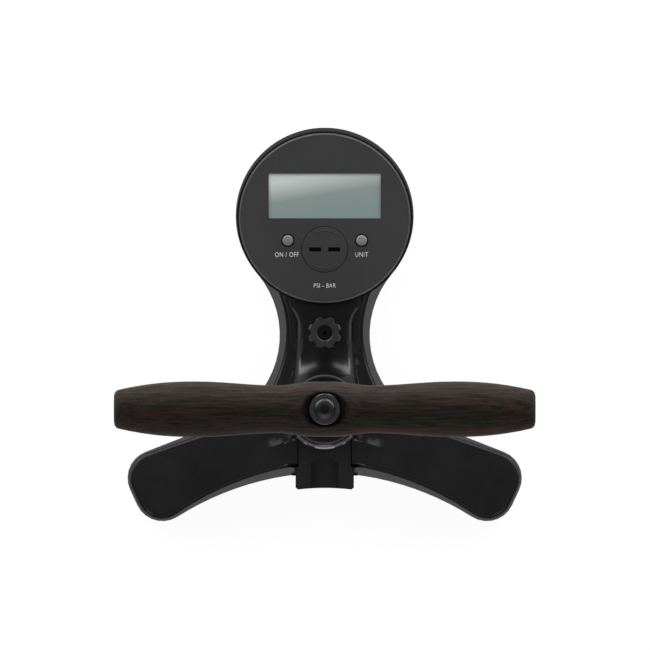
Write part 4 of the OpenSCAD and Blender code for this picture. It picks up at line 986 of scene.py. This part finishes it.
@dataclass
class Gauge:
    """Digital gauge: tub, bezel, face, display, buttons, battery cover and what is inside."""

    plastic: Finish = Finish("gauge_plastic", "gauge_plastic", (0.008, 0.008, 0.0082), 0.66, Grain.MOULDED,
                             specular=0.06)
    shade: Finish = Finish("well_shade", "rubber", (0.0035, 0.0035, 0.0036), 0.7, Grain.MOULDED, specular=0.1)
    # Pale ring round the face: a painted highlight on the face's edge.
    rim_highlight: Finish = Finish("painted_rim_highlight", "face_plate", (0.10, 0.10, 0.101), 0.35, Grain.TURNED, specular=0.4,
                          depth=0.002)
    face: Finish = Finish("face_grain", "face_plate", (0.050, 0.050, 0.0505), 0.55, Grain.MOULDED,
                          specular=0.2, mottle=0.04)
    grey: Finish = Finish("button_grey", "button_grey", (0.225, 0.225, 0.226), 0.45, Grain.MOULDED,
                          specular=0.35)
    mask: Finish = Finish("solder_mask", "board", (0.02, 0.11, 0.05), 0.35, Grain.MOULDED)
    window: ClearWindow = ClearWindow()
    glass: DisplayGlass = DisplayGlass()
    ink: MarkingPaint = MarkingPaint()
    rubber: Finish = Base.rubber
    brass: Finish = Base.brass
    steel: Finish = Base.steel
    oxide: Finish = Handle.oxide
    foot_y: float = 102.5 * MM
    foot_z: float = 30.396 * MM
    tilt: float = math.radians(9.0)
    face_z: float = 21.0 * MM
    display_up: float = 11.8 * MM
    display_half_w: float = 29.15 * MM
    display_half_h: float = 11.75 * MM
    button_x: float = 19.2 * MM
    button_y: float = -11.6 * MM
    well_r: float = 3.5 * MM
    sunk: float = 0.1 * MM
    cover_y: float = -16.3 * MM
    slot_half_l: float = 9.2 * MM
    slot_half_w: float = 1.3 * MM
    slot_depth: float = 1.6 * MM
    arc_profile: tuple[tuple[float, float], ...] = (
        (9.5 * MM, -0.03 * MM), (9.6 * MM, 0.09 * MM), (10.3 * MM, 0.09 * MM), (10.4 * MM, -0.03 * MM))
    arc_sweep: float = 76.0
    arc_starts: tuple[tuple[str, float], ...] = (("cover_arc_up", 52.0), ("cover_arc_down", 232.0))
    face_r: float = 44.7 * MM
    rim_in: float = 0.5 * MM
    rim_profile: tuple[tuple[float, float], ...] = (
        (-0.32 * MM, -0.03 * MM), (-0.22 * MM, 0.06 * MM), (-0.05 * MM, 0.06 * MM), (0.02 * MM, -0.03 * MM))
    film_t: float = 0.1 * MM
    film_depth: float = 0.5 * MM
    mark_lift: float = 0.03 * MM
    marks: tuple[Mark, ...] = (
        Mark("power_mark", "ON / OFF", -button_x - 0.5 * MM, -19.1 * MM),
        Mark("unit_mark", "UNIT", button_x, -19.1 * MM),
        Mark("scale_mark", "PSI - BAR", 0.0, -35.4 * MM, size=3.3 * MM, squeeze=0.8),
    )

    @classmethod
    def frame_matrix(cls) -> Matrix:
        """Matrix from the gauge's own frame to the row frame."""
        return Matrix.Translation((0.0, cls.foot_y, cls.foot_z)) @ Matrix.Rotation(cls.tilt, 4, "X")

    @classmethod
    def at(cls, x: float, y: float, z: float) -> Vector:
        """A point of the gauge's own frame in the row frame."""
        return cls.frame_matrix() @ Vector((x, y, z))

    def in_well(self, centre: Vector, _normal: Vector) -> bool:
        """Whether a face of the plate lies in a button's well.

        Args:
            centre: Middle of the face.

        Returns:
            True if it does.
        """
        own = self.frame_matrix().inverted() @ centre
        away = math.hypot(abs(own.x) - self.button_x, own.y - self.button_y)
        return own.z < self.face_z - self.sunk and away < self.well_r

    def in_slot(self, centre: Vector, _normal: Vector) -> bool:
        """Whether a face of the cover lies in its coin slot.

        Args:
            centre: Middle of the face.

        Returns:
            True if it does.
        """
        own = self.frame_matrix().inverted() @ centre
        deep = self.face_z - self.slot_depth < own.z < self.face_z - self.sunk
        return deep and abs(own.x) < self.slot_half_l and abs(own.y - self.cover_y) < self.slot_half_w

    def film(self) -> None:
        """Lays the display's film close under the front of the window."""
        shape = bmesh.new()
        bmesh.ops.create_cube(shape, size=1.0)
        size = Matrix.Diagonal((2.0 * self.display_half_w, 2.0 * self.display_half_h, self.film_t, 1.0))
        seat = Matrix.Translation((0.0, self.display_up, self.face_z - self.film_depth))
        bmesh.ops.transform(shape, matrix=self.frame_matrix() @ seat @ size, verts=shape.verts)
        Shop.place("display_film", shape, self.glass, Body.BASE)

    def rim(self) -> None:
        """Makes the fine pale ring round the face, a painted highlight on its edge."""
        seat = self.frame_matrix() @ Matrix.Translation((0.0, 0.0, self.face_z))
        r = self.face_r - self.rim_in
        profile = [(r + out, up) for out, up in self.rim_profile]
        Shop.place("face_rim", Shop.ring(profile, seat), self.rim_highlight, Body.BASE)

    def turn_marks(self) -> None:
        """Makes the two raised arcs on the battery cover."""
        seat = self.frame_matrix() @ Matrix.Translation((0.0, self.cover_y, self.face_z))
        for name, start in self.arc_starts:
            arc = Shop.ring(self.arc_profile, seat, self.arc_sweep, start)
            Shop.place(name, arc, self.face, Body.BATTERY_COVER)

    def print_marks(self) -> None:
        """Prints the marks a hair above the face."""
        seat = self.frame_matrix() @ Matrix.Translation((0.0, 0.0, self.face_z + self.mark_lift))
        for mark in self.marks:
            Shop.place(mark.name, mark.build(seat), self.ink, Body.BASE)

    def dress(self) -> None:
        """Dresses the gauge's pieces and prints its marks."""
        Shop.refine("gauge_housing", self.plastic, Body.BASE, edge=0.3 * MM)
        Shop.refine("gauge_bezel", self.plastic, Body.BASE, edge=0.15 * MM)
        plate = Shop.refine("face_plate", self.face, Body.BASE, edge=0.12 * MM)
        Shop.accent(plate, self.shade, self.in_well)
        cover = Shop.refine("battery_cover", self.face, Body.BATTERY_COVER, edge=0.1 * MM)
        Shop.accent(cover, self.shade, self.in_slot)
        self.film()
        self.rim()
        self.turn_marks()
        Shop.refine("power_button", self.grey, Body.POWER_BUTTON, edge=0.15 * MM)
        Shop.refine("unit_button", self.grey, Body.UNIT_BUTTON, edge=0.15 * MM)
        Shop.coat(("lcd_window",), self.window)
        Shop.coat(("lcd_panel",), self.glass)
        Shop.coat(("circuit_board",), self.mask)
        Shop.coat(("bezel_seal", "cover_seal", "battery_holder"), self.rubber)
        Shop.coat(("pressure_sensor",), self.brass)
        Shop.coat(("coin_cell", "button_switches"), self.steel)
        Shop.coat(("gauge_screws", "housing_screws"), self.oxide)
        self.print_marks()


@dataclass(frozen=True)
class Lamp:
    """A soft lamp that points at the base.

    Its bearing from the pump, from +X, and its rise over the floor are in degrees, its level side and its other
    side are in metres, and its power is in watts.
    """

    name: str
    bearing: float
    rise: float
    width: float
    height: float
    power: float

    def hang(self, reach: float) -> None:
        """Hangs the lamp.

        Args:
            reach: Its distance from the foot of the pump.
        """
        light = bpy.data.lights.new(self.name, "AREA")
        light.shape = "RECTANGLE"
        light.size = self.width
        light.size_y = self.height
        light.energy = self.power
        lamp = bpy.data.objects.new(self.name, light)
        turn, lift = math.radians(self.bearing), math.radians(self.rise)
        level = reach * math.cos(lift)
        lamp.location = (level * math.cos(turn), level * math.sin(turn), reach * math.sin(lift))
        lamp.rotation_euler = (-lamp.location).to_track_quat("-Z", "Y").to_euler()
        bpy.context.scene.collection.objects.link(lamp)


@dataclass
class Studio:
    """Pale floor, soft light and a camera straight above the pump."""

    floor_half: float = 4.0
    floor_grey: Colour = (0.92, 0.92, 0.92)
    floor_rough: float = 0.9
    floor_glow: float = 0.88
    floor_light: float = 1.06
    lens: float = 1200.0
    sensor: float = 36.0
    clip: tuple[float, float] = (0.1, 60.0)
    camera_height: float = 11.32
    aim: tuple[float, float] = (0.16 * MM, 43.81 * MM)
    aim_z: float = 50.0 * MM
    room: tuple[tuple[float, float], ...] = (
        (0.0, 1.0), (0.05, 0.35), (0.16, 0.14), (0.6, 0.13), (1.0, 0.19))
    lamp_reach: float = 2.3
    lamps: tuple[Lamp, ...] = (
        Lamp("back_left", 130.0, 18.0, 2.6, 1.1, 68.0),
        Lamp("back_right", 50.0, 18.0, 2.6, 1.1, 64.0),
        Lamp("front_fill", -90.0, 46.0, 1.6, 1.6, 11.0),
        Lamp("front_left", -130.0, 46.0, 0.4, 0.4, 1.0),
        Lamp("front_mid", -90.0, 46.0, 0.5, 0.5, 1.8),
        Lamp("front_right", -50.0, 46.0, 0.4, 0.4, 1.0),
    )

    def seen_share(self, g: Graph) -> Socket:
        """How far a ray sees the plain background: camera, glossy and clear rays do.

        Args:
            g: Graph that the nodes go into.

        Returns:
            1 for such a ray, and 0 for others.
        """
        path = g.add("ShaderNodeLightPath")
        seen = g.math("MAXIMUM", path.outputs["Is Camera Ray"], path.outputs["Is Glossy Ray"])
        return g.math("MAXIMUM", seen, path.outputs["Is Transmission Ray"])

    def floor(self) -> None:
        """Lays the floor, which glows a little for the rays that see it and keeps the shadow."""
        shape = bmesh.new()
        bmesh.ops.create_grid(shape, x_segments=1, y_segments=1, size=self.floor_half)
        mesh = bpy.data.meshes.new("floor")
        shape.to_mesh(mesh)
        shape.free()
        g = Graph("floor_pale")
        g.set(Base_Color=self.floor_grey, Roughness=self.floor_rough, Specular_IOR_Level=0.0)
        glow = g.add("ShaderNodeEmission")
        glow.inputs["Strength"].default_value = self.floor_light
        mix = g.add("ShaderNodeMixShader")
        g.feed(mix.inputs[0], g.math("MULTIPLY", self.seen_share(g), self.floor_glow))
        g.feed(mix.inputs[1], g.shader.outputs["BSDF"])
        g.feed(mix.inputs[2], glow.outputs["Emission"])
        g.feed(g.tree.nodes["Material Output"].inputs["Surface"], mix.outputs["Shader"])
        mesh.materials.append(g.material)
        piece = bpy.data.objects.new("floor", mesh)
        bpy.context.scene.collection.objects.link(piece)

    def world(self) -> None:
        """Makes a room with white walls and a dim ceiling."""
        world = bpy.data.worlds.new("studio_room")
        bpy.context.scene.world = world
        world.use_nodes = True
        tree = world.node_tree
        place = tree.nodes.new("ShaderNodeTexCoord")
        split = tree.nodes.new("ShaderNodeSeparateXYZ")
        tree.links.new(place.outputs["Object"], split.inputs[0])
        level = tree.nodes.new("ShaderNodeValToRGB")
        tree.links.new(split.outputs["Z"], level.inputs["Fac"])
        stops = level.color_ramp.elements
        while len(stops) < len(self.room):
            stops.new(0.5)
        for stop, (height, light) in zip(stops, self.room):
            stop.position = height
            stop.color = (light, light, light, 1.0)
        tree.links.new(level.outputs["Color"], tree.nodes["Background"].inputs["Color"])

    def camera(self) -> None:
        """Sets the camera on the pump's axis, turned a little towards the gauge."""
        data = bpy.data.cameras.new("camera")
        data.lens = self.lens
        data.sensor_width = self.sensor
        data.clip_start, data.clip_end = self.clip
        camera = bpy.data.objects.new("camera", data)
        camera.location = (0.0, 0.0, self.camera_height)
        drop = self.camera_height - self.aim_z
        camera.rotation_euler = (math.atan2(self.aim[1], drop), -math.atan2(self.aim[0], drop), 0.0)
        bpy.context.scene.collection.objects.link(camera)
        bpy.context.scene.camera = camera

    def build(self) -> None:
        """Builds the studio."""
        bpy.context.scene.view_settings.view_transform = "Standard"
        self.floor()
        self.world()
        for lamp in self.lamps:
            lamp.hang(self.lamp_reach)
        self.camera()


def main() -> None:
    """Dresses every sub-assembly in turn and builds the studio."""
    logging.basicConfig(level=logging.INFO, format="%(name)s: %(message)s")
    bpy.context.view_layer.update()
    for part in (Base(), Barrel(), Plunger(), Handle(), HosePort(), ChuckHolder(), Gauge()):
        part.dress()
    Studio().build()


if __name__ == "__main__":
    main()
